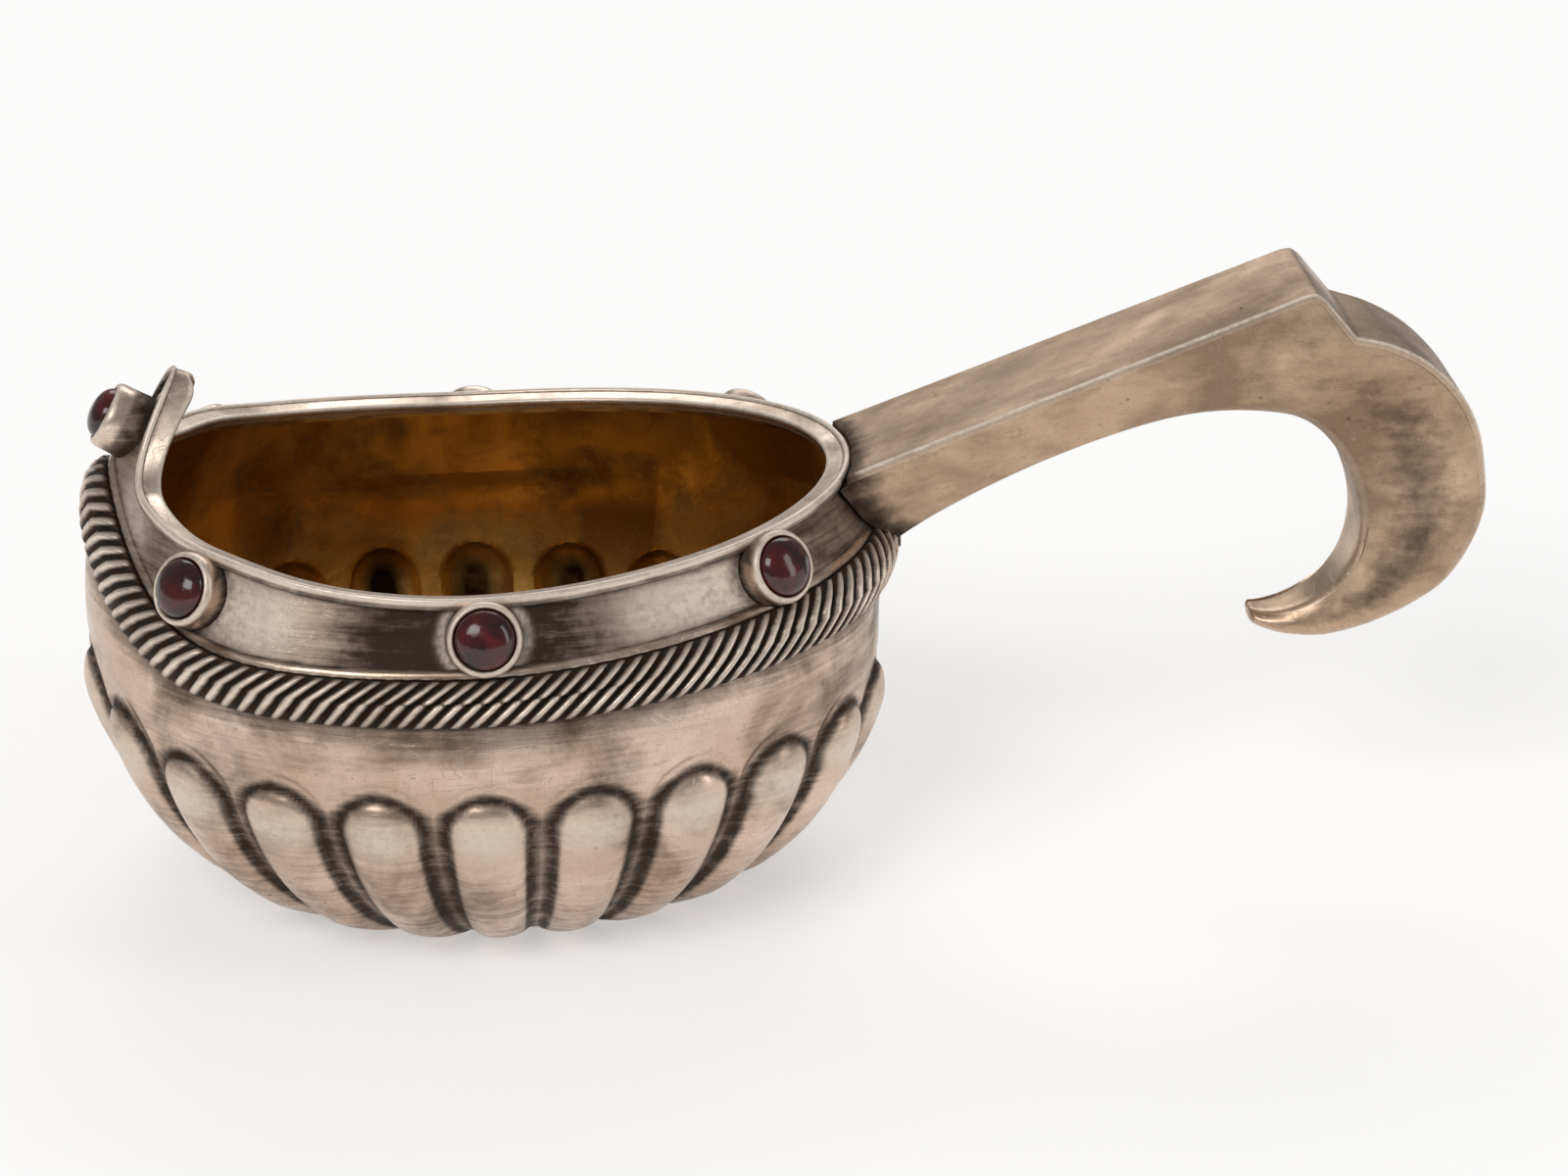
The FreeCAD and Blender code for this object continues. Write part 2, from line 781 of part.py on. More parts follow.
for thing in doc.Objects:
    if "Invalid" in thing.State or "Error" in thing.State:
        raise RuntimeError(thing.Name + " did not compute")
for piece in pieces:
    if piece.Shape.isNull() or not piece.Shape.isValid():
        raise RuntimeError(piece.Label + " has no valid shape")

os.makedirs("parts", exist_ok=True)
for piece in pieces:
    piece.Shape.exportStep("parts/" + piece.Label + ".step")
    box = piece.Shape.BoundBox
    print(piece.Label, len(piece.Shape.Solids), "solid", round(piece.Shape.Volume, 1),
          [round(value, 1) for value in (box.XMin, box.YMin, box.ZMin, box.XMax, box.YMax, box.ZMax)])
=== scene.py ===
import math

import bpy
import numpy as np
from mathutils import Matrix, Vector
from mathutils.bvhtree import BVHTree


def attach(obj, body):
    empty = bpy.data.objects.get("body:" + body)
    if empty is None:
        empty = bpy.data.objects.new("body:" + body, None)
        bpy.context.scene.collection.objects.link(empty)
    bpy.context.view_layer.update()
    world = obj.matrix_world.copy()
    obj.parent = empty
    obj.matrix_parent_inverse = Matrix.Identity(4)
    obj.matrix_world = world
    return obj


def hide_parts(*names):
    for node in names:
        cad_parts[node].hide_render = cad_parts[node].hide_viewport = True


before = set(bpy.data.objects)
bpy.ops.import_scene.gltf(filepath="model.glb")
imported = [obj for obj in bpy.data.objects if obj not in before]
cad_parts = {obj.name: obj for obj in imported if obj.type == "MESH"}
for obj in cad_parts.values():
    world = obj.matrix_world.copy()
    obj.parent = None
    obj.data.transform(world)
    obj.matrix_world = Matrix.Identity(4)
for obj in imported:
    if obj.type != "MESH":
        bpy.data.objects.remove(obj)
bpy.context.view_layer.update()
mm = 0.001
print("frame loaded:", len(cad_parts), "nodes")


# the cup's own lines, in millimetres; angle 0 is the handle end, half a turn the prow
cup = {
    "station": -3.0,
    "bowlFore": 51.0, "bowlAft": 55.8, "bowlBeam": 44.6,
    "baseFore": 25.8, "baseAft": 27.9, "baseBeam": 22.3,
    "shoulder": 33.4, "bowlProwLift": 7.8, "bowlSternLift": 1.2,
    "sideFill": 2.05, "sideRound": 1.39, "liftOnset": 0.7,
    "neckFore": 45.8, "neckAft": 56.6, "neckBeam": 41.8,
    "neckCheek": 11.0, "neckNose": 2.8,
    "foreLean": 0.42, "noseLean": 0.18, "foreCurve": 0.5, "aftLean": 0.567, "beamLean": 0.365,
    "neckFoot": 41.6, "prowLift": 11.5, "noseLift": 3.8, "sternLift": 5.6,
    "neckTop": 52.8, "topProwLift": 5.8, "topSternLift": 4.5, "tongueRise": 12.7, "tonguePower": 60,
    "nearDip": 1.1, "farDip": -0.7, "dipPlace": 0.56, "dipWidth": 0.25,
    "wall": 1.0, "seam": 0.05,
}
turnStep = math.radians(0.2)


def towardsProw(angle, power):
    return np.clip(-np.cos(angle), 0, 1) ** power


def turnFromProw(angle):
    return np.arccos(np.clip(-np.cos(angle), -1, 1))


def fade(distance, spread):
    # 1 at no distance, next to nothing two spreads away
    return np.exp(-(distance / spread) ** 2)


def ringLine(angle, fore, aft, beam, cheek, nose, station):
    along, across = np.cos(angle), np.sin(angle)
    x = np.where(along > 0, station + aft * along,
                 station + along * (fore + cheek * across ** 2) - nose * along ** 16)
    return x, beam * across


def endLift(angle, prow, power, stern):
    along = np.cos(angle)
    return np.where(along > 0, stern * np.clip(along, 0, 1) ** 1.5, prow * towardsProw(angle, power))


def footHeight(angle):
    lift = endLift(angle, cup["prowLift"], 6, cup["sternLift"])
    return cup["neckFoot"] + lift + cup["noseLift"] * towardsProw(angle, 30)


def topHeight(angle):
    # height of the neck above its foot
    lift = endLift(angle, cup["topProwLift"], 2, cup["topSternLift"])
    tongue = cup["tongueRise"] * towardsProw(angle, cup["tonguePower"])
    # the hand-raised rim dips a little beside the tongue, and less on its far side
    dip = np.where(np.sin(angle) < 0, cup["nearDip"], cup["farDip"])
    dip = dip * fade(turnFromProw(angle) - cup["dipPlace"], cup["dipWidth"])
    return cup["neckTop"] + lift + tongue - dip - footHeight(angle)


def neckPoint(angle, rise):
    angle, rise = np.broadcast_arrays(np.asarray(angle, float), np.asarray(rise, float))
    lean = cup["foreLean"] + cup["noseLean"] * np.cos(angle) ** 16
    fore = cup["neckFore"] - lean * rise - cup["foreCurve"] * rise ** 2 / cup["neckFore"]
    aft, beam = cup["neckAft"] - cup["aftLean"] * rise, cup["neckBeam"] - cup["beamLean"] * rise
    x, y = ringLine(angle, fore, aft, beam, cup["neckCheek"], cup["neckNose"], cup["station"])
    return np.stack([x, y, footHeight(angle) + rise], axis=-1)


def unit(vectors):
    return vectors / np.linalg.norm(vectors, axis=-1, keepdims=True)


def neckNormal(angle, rise):
    along = neckPoint(angle + turnStep, rise) - neckPoint(angle - turnStep, rise)
    upward = neckPoint(angle, rise + 0.1) - neckPoint(angle, rise - 0.1)
    return unit(np.cross(along, upward))


def levelNormal(angle, rise):
    along = neckPoint(angle + turnStep, rise) - neckPoint(angle - turnStep, rise)
    return unit(np.stack([along[..., 1], -along[..., 0], 0 * along[..., 0]], axis=-1))


def bowlPoint(angle, level):
    # levels 0 to 1 run up to the shoulder, 1 to 2 on to the lip under the cord
    angle, level = np.broadcast_arrays(np.asarray(angle, float), np.asarray(level, float))
    low = np.clip(level, 0, 1)
    climb = np.clip(level - 1, 0, 1)
    full = (1 - (1 - low) ** cup["sideFill"]) ** (1 / cup["sideRound"])
    inset = climb ** 2

    def size(way):
        base, bowl, neck = cup["base" + way], cup["bowl" + way], cup["neck" + way]
        return base + (bowl - base) * full + (neck - bowl) * inset

    x, y = ringLine(angle, size("Fore"), size("Aft"), size("Beam"), cup["neckCheek"] * inset,
                    cup["neckNose"] * inset, cup["station"] * full)
    lifted = endLift(angle, cup["bowlProwLift"], 6, cup["bowlSternLift"])
    shoulder = cup["shoulder"] + lifted
    z = cup["shoulder"] * low + lifted * low ** cup["liftOnset"]
    z = np.where(level > 1, shoulder + (footHeight(angle) - cup["seam"] - shoulder) * climb, z)
    return np.stack([x, y, z], axis=-1)


def bowlNormal(angle, level):
    lower, upper = np.clip(level - 0.004, 0, 2), np.clip(level + 0.004, 0, 2)
    along = bowlPoint(angle + turnStep, level) - bowlPoint(angle - turnStep, level)
    return unit(np.cross(along, bowlPoint(angle, upper) - bowlPoint(angle, lower)))


def crowdedAngles(count, crowding=0.78):
    # stations stand closer towards the prow, where the lines bend most
    turn = 2 * np.pi * np.arange(count) / count
    return turn + crowding * np.sin(turn)


def lengthsAlong(points):
    steps = np.linalg.norm(np.diff(points, axis=0), axis=1)
    return np.concatenate([[0], np.cumsum(steps)])


# meshes

def gridFaces(grid, closeRows=False):
    # quads between rows of a closed ring
    rows, columns = grid.shape[:2]
    row = np.arange(rows if closeRows else rows - 1)[:, None]
    column = np.arange(columns)[None, :]
    nextRow = (row + 1) % rows
    nextColumn = (column + 1) % columns
    quads = np.stack([row * columns + column, row * columns + nextColumn,
                      nextRow * columns + nextColumn, nextRow * columns + column], axis=-1)
    return quads.reshape(-1, 4)


def capFaces(grid):
    rows, columns = grid.shape[:2]
    return [list(range(columns))[::-1], list(range((rows - 1) * columns, rows * columns))]


def makePiece(name, node, slotName, points, faces, materials, faceMaterials=None, sharpAngle=38,
              **pointValues):
    mesh = bpy.data.meshes.new(name)
    places = np.asarray(points).reshape(-1, 3) * mm
    mesh.from_pydata(places.tolist(), [], [list(map(int, face)) for face in faces])
    for material in materials:
        mesh.materials.append(material)
    if faceMaterials is not None:
        mesh.polygons.foreach_set("material_index", np.asarray(faceMaterials, dtype=np.int32))
    for valueName, values in pointValues.items():
        layer = mesh.attributes.new(valueName, "FLOAT", "POINT")
        layer.data.foreach_set("value", np.asarray(values, dtype=np.float32).ravel())
    mesh.shade_smooth()
    mesh.set_sharp_from_angle(angle=math.radians(sharpAngle))
    mesh.validate()
    mesh.update()
    piece = bpy.data.objects.new(name, mesh)
    bpy.context.scene.collection.objects.link(piece)
    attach(piece, "root")
    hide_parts(node)
    return piece


# shader helpers

def plug(tree, value, socket):
    if isinstance(value, bpy.types.NodeSocket):
        tree.links.new(value, socket)
    else:
        socket.default_value = value


def wire(tree, node, inputs):
    for key, value in inputs.items():
        plug(tree, value, node.inputs[key])


def addNode(tree, kind, inputs=None, **settings):
    node = tree.nodes.new(kind)
    for key, value in settings.items():
        setattr(node, key, value)
    wire(tree, node, inputs or {})
    return node


def rgb(*values):
    return (*values, 1.0)


def mixColour(tree, share, first, second):
    return addNode(tree, "ShaderNodeMix", {0: share, 6: first, 7: second}, data_type="RGBA").outputs[2]


def maths(tree, operation, first, second=0.0, clamp=False):
    node = addNode(tree, "ShaderNodeMath", {0: first, 1: second}, operation=operation, use_clamp=clamp)
    return node.outputs[0]


def times(tree, first, second):
    return maths(tree, "MULTIPLY", first, second)


def plus(tree, total, *values):
    for value in values:
        total = maths(tree, "ADD", total, value)
    return total


def minus(tree, first, second):
    return maths(tree, "SUBTRACT", first, second)


def coat(tree, colour, mask, amount, shade):
    # lays a shade over a colour where a mask says
    return mixColour(tree, times(tree, mask, amount), colour, rgb(*shade))


def remap(tree, value, low, high, start=0.0, end=1.0):
    return addNode(tree, "ShaderNodeMapRange", {"Value": value, "From Min": low, "From Max": high,
                                                "To Min": start, "To Max": end}).outputs["Result"]


def ownPlace(tree):
    return addNode(tree, "ShaderNodeTexCoord").outputs["Object"]


def addNoise(tree, place, scale, detail, roughness, seed=None, distortion=0.0):
    inputs = {"Vector": place, "Scale": scale, "Detail": detail, "Roughness": roughness,
              "Distortion": distortion}
    if seed is not None:
        inputs["W"] = seed
    noise = addNode(tree, "ShaderNodeTexNoise", inputs, noise_dimensions="3D" if seed is None else "4D")
    return noise.outputs["Fac"]


def pointValue(tree, name):
    return addNode(tree, "ShaderNodeAttribute", attribute_name=name).outputs["Fac"]


def addBump(tree, shader, height, strength, distance):
    bump = addNode(tree, "ShaderNodeBump", {"Height": height, "Strength": strength, "Distance": distance})
    tree.links.new(bump.outputs["Normal"], shader.inputs["Normal"])


# effects that several finishes share, one node group each

def newGroup(name, inputs, outputs):
    group = bpy.data.node_groups.new(name, "ShaderNodeTree")
    for socketName, value in inputs.items():
        kind = "NodeSocketVector" if isinstance(value, tuple) else "NodeSocketFloat"
        socket = group.interface.new_socket(name=socketName, in_out="INPUT", socket_type=kind)
        socket.default_value = value
    for socketName in outputs:
        group.interface.new_socket(name=socketName, in_out="OUTPUT", socket_type="NodeSocketFloat")
    return group, group.nodes.new("NodeGroupInput").outputs, group.nodes.new("NodeGroupOutput").inputs


def buildTarnish():
    # cloudy patches of brown silver sulphide
    defaults = {"Scale": 60.0, "Amount": 0.5, "Softness": 0.12, "Seed": 0.0, "Grain": 0.5, "GrainShare": 0.0}
    group, given, result = newGroup("tarnishPatches", defaults, ["Mask"])
    cloud = addNoise(group, ownPlace(group), given["Scale"], 7.0, 0.58, given["Seed"], 0.5)
    # brush strokes fray the edges of each patch
    fray = times(group, minus(group, given["Grain"], 0.5), given["GrainShare"])
    level = minus(group, 1.0, given["Amount"])
    low = minus(group, level, given["Softness"])
    high = plus(group, level, given["Softness"])
    group.links.new(remap(group, plus(group, cloud, fray), low, high), result["Mask"])
    return group


def buildGrain():
    # long brush strokes that run round the cup, or along the handle by another stretch
    defaults = {"Stretch": (90.0, 90.0, 1500.0), "Seed": 0.0}
    group, given, result = newGroup("brushGrain", defaults, ["Height", "Streak"])
    stretched = addNode(group, "ShaderNodeVectorMath", {0: ownPlace(group), 1: given["Stretch"]},
                        operation="MULTIPLY").outputs[0]
    fine = addNoise(group, stretched, 1.0, 4.0, 0.65, given["Seed"])
    broad = addNoise(group, stretched, 0.22, 2.0, 0.5, given["Seed"])
    group.links.new(fine, result["Height"])
    group.links.new(remap(group, broad, 0.36, 0.64), result["Streak"])
    return group


def buildScratches():
    # single hair scratches in three crossing directions
    group, given, result = newGroup("hairScratches", {"Scale": 160.0, "Width": 0.012, "Seed": 0.0}, ["Mask"])
    place = ownPlace(group)
    masks = []
    for turn, stretch in ((0.35, (1.0, 1.0, 7.0)), (-0.9, (6.0, 1.0, 1.4)), (1.9, (1.0, 5.0, 2.5))):
        turned = addNode(group, "ShaderNodeMapping", {"Vector": place, "Rotation": (0.4 * turn, turn, 0.3),
                                                      "Scale": stretch}).outputs["Vector"]
        noise = addNoise(group, turned, given["Scale"], 1.0, 0.3, given["Seed"])
        masks.append(remap(group, maths(group, "ABSOLUTE", minus(group, noise, 0.5)), given["Width"], 0.0))
    both = maths(group, "MAXIMUM", masks[0], masks[1])
    group.links.new(maths(group, "MAXIMUM", both, masks[2]), result["Mask"])
    return group


def buildPatinaAndShade():
    # black patina that stays where a cloth doesn't reach, together with painted shade in grooves, creases and
    # under parts, broken up at its edge
    defaults = {"Hollow": 0.0, "Amount": 1.0, "Breakup": 0.5, "Scale": 420.0, "Grain": 0.5}
    group, given, result = newGroup("hollowPatina", defaults, ["Mask"])
    noise = addNoise(group, ownPlace(group), given["Scale"], 6.0, 0.62)
    around = times(group, minus(group, plus(group, noise, given["Grain"]), 1.0), given["Breakup"])
    level = plus(group, times(group, given["Hollow"], given["Amount"]), around)
    group.links.new(remap(group, level, 0.16, 0.86), result["Mask"])
    return group


def buildPits():
    # small dark pits and specks
    group, given, result = newGroup("darkPits", {"Scale": 300.0, "Size": 0.12, "Share": 0.15}, ["Mask"])
    cells = addNode(group, "ShaderNodeTexVoronoi", {"Vector": ownPlace(group), "Scale": given["Scale"]})
    dot = remap(group, cells.outputs["Distance"], given["Size"], 0.0)
    chosen = addNode(group, "ShaderNodeSeparateColor", {"Color": cells.outputs["Color"]})
    picked = maths(group, "LESS_THAN", chosen.outputs[0], given["Share"])
    group.links.new(maths(group, "MULTIPLY", dot, picked, clamp=True), result["Mask"])
    return group


tarnishPatches, brushGrain, hairScratches = buildTarnish(), buildGrain(), buildScratches()
hollowPatina, darkPits = buildPatinaAndShade(), buildPits()


def useGroup(tree, group, **inputs):
    return addNode(tree, "ShaderNodeGroup", inputs, node_tree=group).outputs


def maskOf(tree, group, **inputs):
    return useGroup(tree, group, **inputs)["Mask"]


def startMaterial(name):
    material = bpy.data.materials.new(name)
    material.use_nodes = True
    tree = material.node_tree
    return material, tree, tree.nodes["Principled BSDF"]


# silver and its gilding

silverLook = {
    "bright": (0.84, 0.69, 0.575), "rubbedAndSheen": (0.93, 0.80, 0.67), "warm": (0.45, 0.305, 0.205),
    "brown": (0.15, 0.092, 0.055), "black": (0.040, 0.023, 0.013),
    "warmShare": 0.70, "streakShare": 0.14, "scratchShare": 0.16, "hairlineShare": 0.42, "pitShare": 0.8,
    "streakRough": 0.08, "stainRough": 0.14, "patinaRough": 0.30, "rubbedRough": 0.14,
    "patinaMetal": 0.55, "rubbedScatter": 0.75, "rippleStrength": 0.55, "rippleDepth": 0.0012,
}
giltLook = {
    "bright": (0.98, 0.58, 0.16), "dull": (0.27, 0.135, 0.03), "stain": (0.12, 0.05, 0.018),
    "scratch": (0.86, 0.60, 0.30), "hollow": (0.020, 0.009, 0.003),
    "dullShare": 0.8, "stainShare": 0.55, "scratchShare": 0.3,
    "roughness": 0.36, "stainRough": 0.16, "patinaRough": 0.2, "patchStrength": 0.35, "patchDepth": 0.0006,
}


def silverMaterial(name, stretch=(90.0, 90.0, 1500.0), patinaShadeAmount=1.0, tarnish=0.50, brownAmount=0.44,
                   roughness=0.25, seed=0.0, darkShare=0.7, frayShare=0.2, stainScale=78.0,
                   bright=silverLook["bright"]):
    material, tree, shader = startMaterial(name)
    look = silverLook
    grain = useGroup(tree, brushGrain, Stretch=stretch, Seed=seed)
    patches = maskOf(tree, tarnishPatches, Scale=46.0, Amount=tarnish, Softness=0.13, Seed=seed,
                     Grain=grain["Height"], GrainShare=frayShare * 0.5)
    stains = maskOf(tree, tarnishPatches, Scale=stainScale, Amount=brownAmount, Softness=0.10,
                    Seed=seed + 3.0, Grain=grain["Height"], GrainShare=frayShare)
    scratches = maskOf(tree, hairScratches, Scale=150.0, Width=0.004, Seed=seed)
    hairlines = maskOf(tree, hairScratches, Scale=210.0, Width=0.006, Seed=seed + 7.0)
    pits = maskOf(tree, darkPits, Scale=330.0, Size=0.13, Share=0.10)
    patinaShade = maskOf(tree, hollowPatina, Hollow=pointValue(tree, "hollow"), Amount=patinaShadeAmount,
                    Breakup=0.62, Scale=420.0, Grain=grain["Height"])
    speckle = addNoise(tree, ownPlace(tree), 900.0, 3.0, 0.7)
    rubbedAndSheen = times(tree, pointValue(tree, "worn"), remap(tree, speckle, 0.38, 0.58, 0.55, 0.95))

    colour = coat(tree, rgb(*bright), patches, look["warmShare"], look["warm"])
    colour = coat(tree, colour, grain["Streak"], look["streakShare"], look["warm"])
    colour = coat(tree, colour, stains, darkShare, look["brown"])
    colour = coat(tree, colour, scratches, look["scratchShare"], look["bright"])
    colour = coat(tree, colour, hairlines, look["hairlineShare"], look["brown"])
    colour = coat(tree, colour, pits, look["pitShare"], look["black"])
    # patina, and painted shade laid in the same black
    colour = mixColour(tree, patinaShade, colour, rgb(*look["black"]))
    # rubbed wear, and painted highlights, in the same pale colour
    colour = mixColour(tree, rubbedAndSheen, colour, rgb(*look["rubbedAndSheen"]))

    dull = plus(tree, times(tree, stains, look["stainRough"]), times(tree, patinaShade, look["patinaRough"]))
    rough = plus(tree, times(tree, grain["Streak"], look["streakRough"]), dull, roughness,
                 times(tree, rubbedAndSheen, look["rubbedRough"]))
    # rubbed silver scatters light, and so do the painted highlights laid with it; patina is no clean metal
    metal = maths(tree, "SUBTRACT", remap(tree, patinaShade, 0.0, 1.0, 1.0, look["patinaMetal"]),
                  times(tree, rubbedAndSheen, look["rubbedScatter"]), True)
    wire(tree, shader, {"Base Color": colour, "Roughness": rough, "Metallic": metal})

    ripple = addNoise(tree, ownPlace(tree), 75.0, 2.0, 0.4)
    height = plus(tree, ripple, times(tree, grain["Height"], 0.05))
    height = minus(tree, height, times(tree, scratches, 0.02))
    height = minus(tree, height, times(tree, pits, 0.15))
    addBump(tree, shader, height, look["rippleStrength"], look["rippleDepth"])
    return material


def giltMaterial():
    # the worn mercury gilding of the inside, in upright streaks
    material, tree, shader = startMaterial("wornGilt")
    look = giltLook
    grain = useGroup(tree, brushGrain, Stretch=(300.0, 300.0, 22.0), Seed=5.0)
    patches = maskOf(tree, tarnishPatches, Scale=34.0, Amount=0.53, Softness=0.11, Seed=4.0,
                     Grain=grain["Streak"], GrainShare=0.42)
    stains = maskOf(tree, tarnishPatches, Scale=110.0, Amount=0.42, Softness=0.09, Seed=6.0,
                    Grain=grain["Height"], GrainShare=0.3)
    scratches = maskOf(tree, hairScratches, Scale=130.0, Width=0.005, Seed=2.0)
    patinaShade = maskOf(tree, hollowPatina, Hollow=pointValue(tree, "hollow"), Amount=0.95, Breakup=0.5,
                    Scale=120.0)
    colour = coat(tree, rgb(*look["bright"]), patches, look["dullShare"], look["dull"])
    colour = coat(tree, colour, stains, look["stainShare"], look["stain"])
    colour = coat(tree, colour, scratches, look["scratchShare"], look["scratch"])
    # patina, and painted shade inside the lobes, in the same dark
    colour = mixColour(tree, patinaShade, colour, rgb(*look["hollow"]))
    rough = plus(tree, times(tree, stains, look["stainRough"]), times(tree, patinaShade, look["patinaRough"]),
                 look["roughness"])
    wire(tree, shader, {"Base Color": colour, "Roughness": rough, "Metallic": 1.0})
    height = plus(tree, times(tree, grain["Height"], 0.06), patches)
    addBump(tree, shader, height, look["patchStrength"], look["patchDepth"])
    return material


def garnetMaterial():
    # dark red stone with paler veils and scuffs in its polish
    material, tree, shader = startMaterial("garnetRed")
    veil = maskOf(tree, tarnishPatches, Scale=240.0, Amount=0.42, Softness=0.16, Seed=9.0)
    pits = maskOf(tree, darkPits, Scale=900.0, Size=0.12, Share=0.10)
    scratches = maskOf(tree, hairScratches, Scale=420.0, Width=0.010, Seed=8.0)
    colour = mixColour(tree, veil, rgb(0.024, 0.0025, 0.004), rgb(0.15, 0.005, 0.009))
    colour = coat(tree, colour, pits, 0.6, (0.004, 0.001, 0.001))
    rough = plus(tree, times(tree, scratches, 0.22), times(tree, veil, 0.06), 0.07)
    wire(tree, shader, {"Base Color": colour, "Roughness": rough, "IOR": 1.60})
    addBump(tree, shader, veil, 0.12, 0.0003)
    return material


bowlSilver = silverMaterial("bowlSilver", seed=1.0, patinaShadeAmount=0.93, bright=(0.76, 0.59, 0.48),
                            frayShare=0.22, stainScale=70.0, darkShare=0.8)
neckSilver = silverMaterial("neckSilver", seed=2.0, frayShare=0.45, stainScale=60.0, darkShare=0.92)
rimSilver = silverMaterial("rimSilver", seed=3.0, tarnish=0.40)
cordSilver = silverMaterial("cordSilver", seed=4.0, patinaShadeAmount=1.15, tarnish=0.3, roughness=0.22)
handleSilver = silverMaterial("handleSilver", seed=5.0, stretch=(160.0, 700.0, 420.0), tarnish=0.52,
                              bright=(0.64, 0.47, 0.33), stainScale=44.0, darkShare=0.62,
                              brownAmount=0.47, roughness=0.30)
colletSilver = silverMaterial("colletSilver", seed=6.0)
wornGilt, garnetRed = giltMaterial(), garnetMaterial()
print("materials ready")


# bowl

lobes = {
    "count": 22, "stationsPerLobe": 28, "bulge": 2.15, "fullness": 0.62, "grooveWidth": 3.6,
    "archLevel": 0.715, "archReach": 33.3, "cutDepth": 0.30, "cutWidth": 2.4,
    "swellLevels": [0, 0.06, 0.17, 0.36, 2], "swellShares": [0.05, 0.42, 0.86, 1, 1],
    # how far the dark runs: beside an arch, more between two lobes, and inside a lobe's edge
    "archDark": 0.9, "grooveDark": 1.85, "edgeDark": 0.6, "darkest": 0.95,
    # levels: the top of the dark grooves, the painted shade below and the painted shadow with patina under
    # the cord, the rubbed crowns with their painted highlight
    "grooveTop": 0.86, "undersideTop": 0.62, "underCord": 1.25, "crownLevel": 0.73, "crownSpread": 0.08,
    # how far and how dark the painted shade inside each lobe runs
    "insideReach": 1.08, "insideDark": 0.9,
}


def lobeLayout():
    # grooves part the shoulder line into equal lengths
    turns = np.linspace(0, 2 * np.pi, 1441)
    lengths = lengthsAlong(bowlPoint(turns, 1.0))
    grooves = np.interp(np.linspace(0, lengths[-1], lobes["count"] + 1), lengths, turns)
    return grooves, lengths[-1] / lobes["count"]


grooveAngles, lobePitch = lobeLayout()


def archReach(share, level):
    # distance from the spine of a lobe, 1 at its edge
    radius = (lobePitch - lobes["grooveWidth"]) / 2
    side = np.abs(share - 0.5) * lobePitch
    above = np.clip(level - lobes["archLevel"], 0, None) * lobes["archReach"]
    return np.hypot(side, above) / radius, radius


def lobeRelief(share, level, cut):
    reach, radius = archReach(share, level)
    swell = np.interp(level, lobes["swellLevels"], lobes["swellShares"])
    dome = lobes["bulge"] * np.clip(1 - reach ** 2, 0, 1) ** lobes["fullness"] * swell
    beside = (reach - 1) * radius / lobes["cutWidth"]
    return dome - cut * np.sin(np.pi * np.clip(beside, 0, 1))


def bowlRows(levels, depth, cut):
    # rows of points up one face of the bowl, with the patina and painted shade, and the wear and painted
    # highlight, of each
    per = lobes["stationsPerLobe"]
    place = np.arange(lobes["count"] * per) / per
    share = (place % 1.0)[None, :]
    angle = np.interp(place, np.arange(lobes["count"] + 1), grooveAngles)[None, :]
    level = np.asarray(levels)[:, None]
    normal = bowlNormal(angle, level)
    flat = (level == 0) | (level == 2)
    normal = np.where(flat[..., None], unit(normal * np.array([1, 1, 0]) + 1e-9), normal)
    points = bowlPoint(angle, level) + normal * (lobeRelief(share, level, cut) - depth)[..., None]
    points[np.asarray(levels) == 0, :, 2] = depth
    points[..., 2] = np.maximum(points[..., 2], depth)
    reach, radius = archReach(share, level)
    out = (reach - 1) * radius
    if not cut:
        # inside, painted shade fills each lobe's hollow
        hollow = np.clip((lobes["insideReach"] - reach) * 1.25, 0, 1) * lobes["insideDark"]
        return points, hollow, 0 * reach
    # between two lobes the groove is dark right across, above the arches only near their edge, patina and
    # painted shade together
    between = np.clip((lobes["grooveTop"] - level) * 9, 0, 1)
    wide = np.where(out > 0, lobes["archDark"] + lobes["grooveDark"] * between, lobes["edgeDark"])
    hollow = fade(out, wide) * lobes["darkest"]
    # painted shadow of the cord on the lip below it, with patina
    underCord = np.clip((level - lobes["underCord"]) * 1.5, 0, 1)
    # painted shade, darker towards the foot
    underside = np.clip(lobes["undersideTop"] - level, 0, 1) * 0.75
    # painted highlight on each lobe's crown, with its rubbing
    crown = np.clip(1 - reach, 0, 1) ** 0.5 * fade(level - lobes["crownLevel"], lobes["crownSpread"])
    return points, np.maximum(hollow, np.maximum(underCord, underside)), crown


def discRows(ring, height):
    # a flat disc that closes a ring
    centre = np.array([0.0, 0.0, height])
    shares = (0.02, 0.3, 0.6, 0.85, 0.97)
    return np.stack([centre + (ring - centre) * np.array([share, share, 1]) for share in shares])


def rowLevels(*counts):
    # rows from the foot to the lip, closest where the lobes arch
    ends = (0, 0.1, 0.68, 0.95, 2.0)
    runs = [np.linspace(ends[index], ends[index + 1], count)[:-1] for index, count in enumerate(counts)]
    return np.concatenate(runs + [[ends[-1]]])


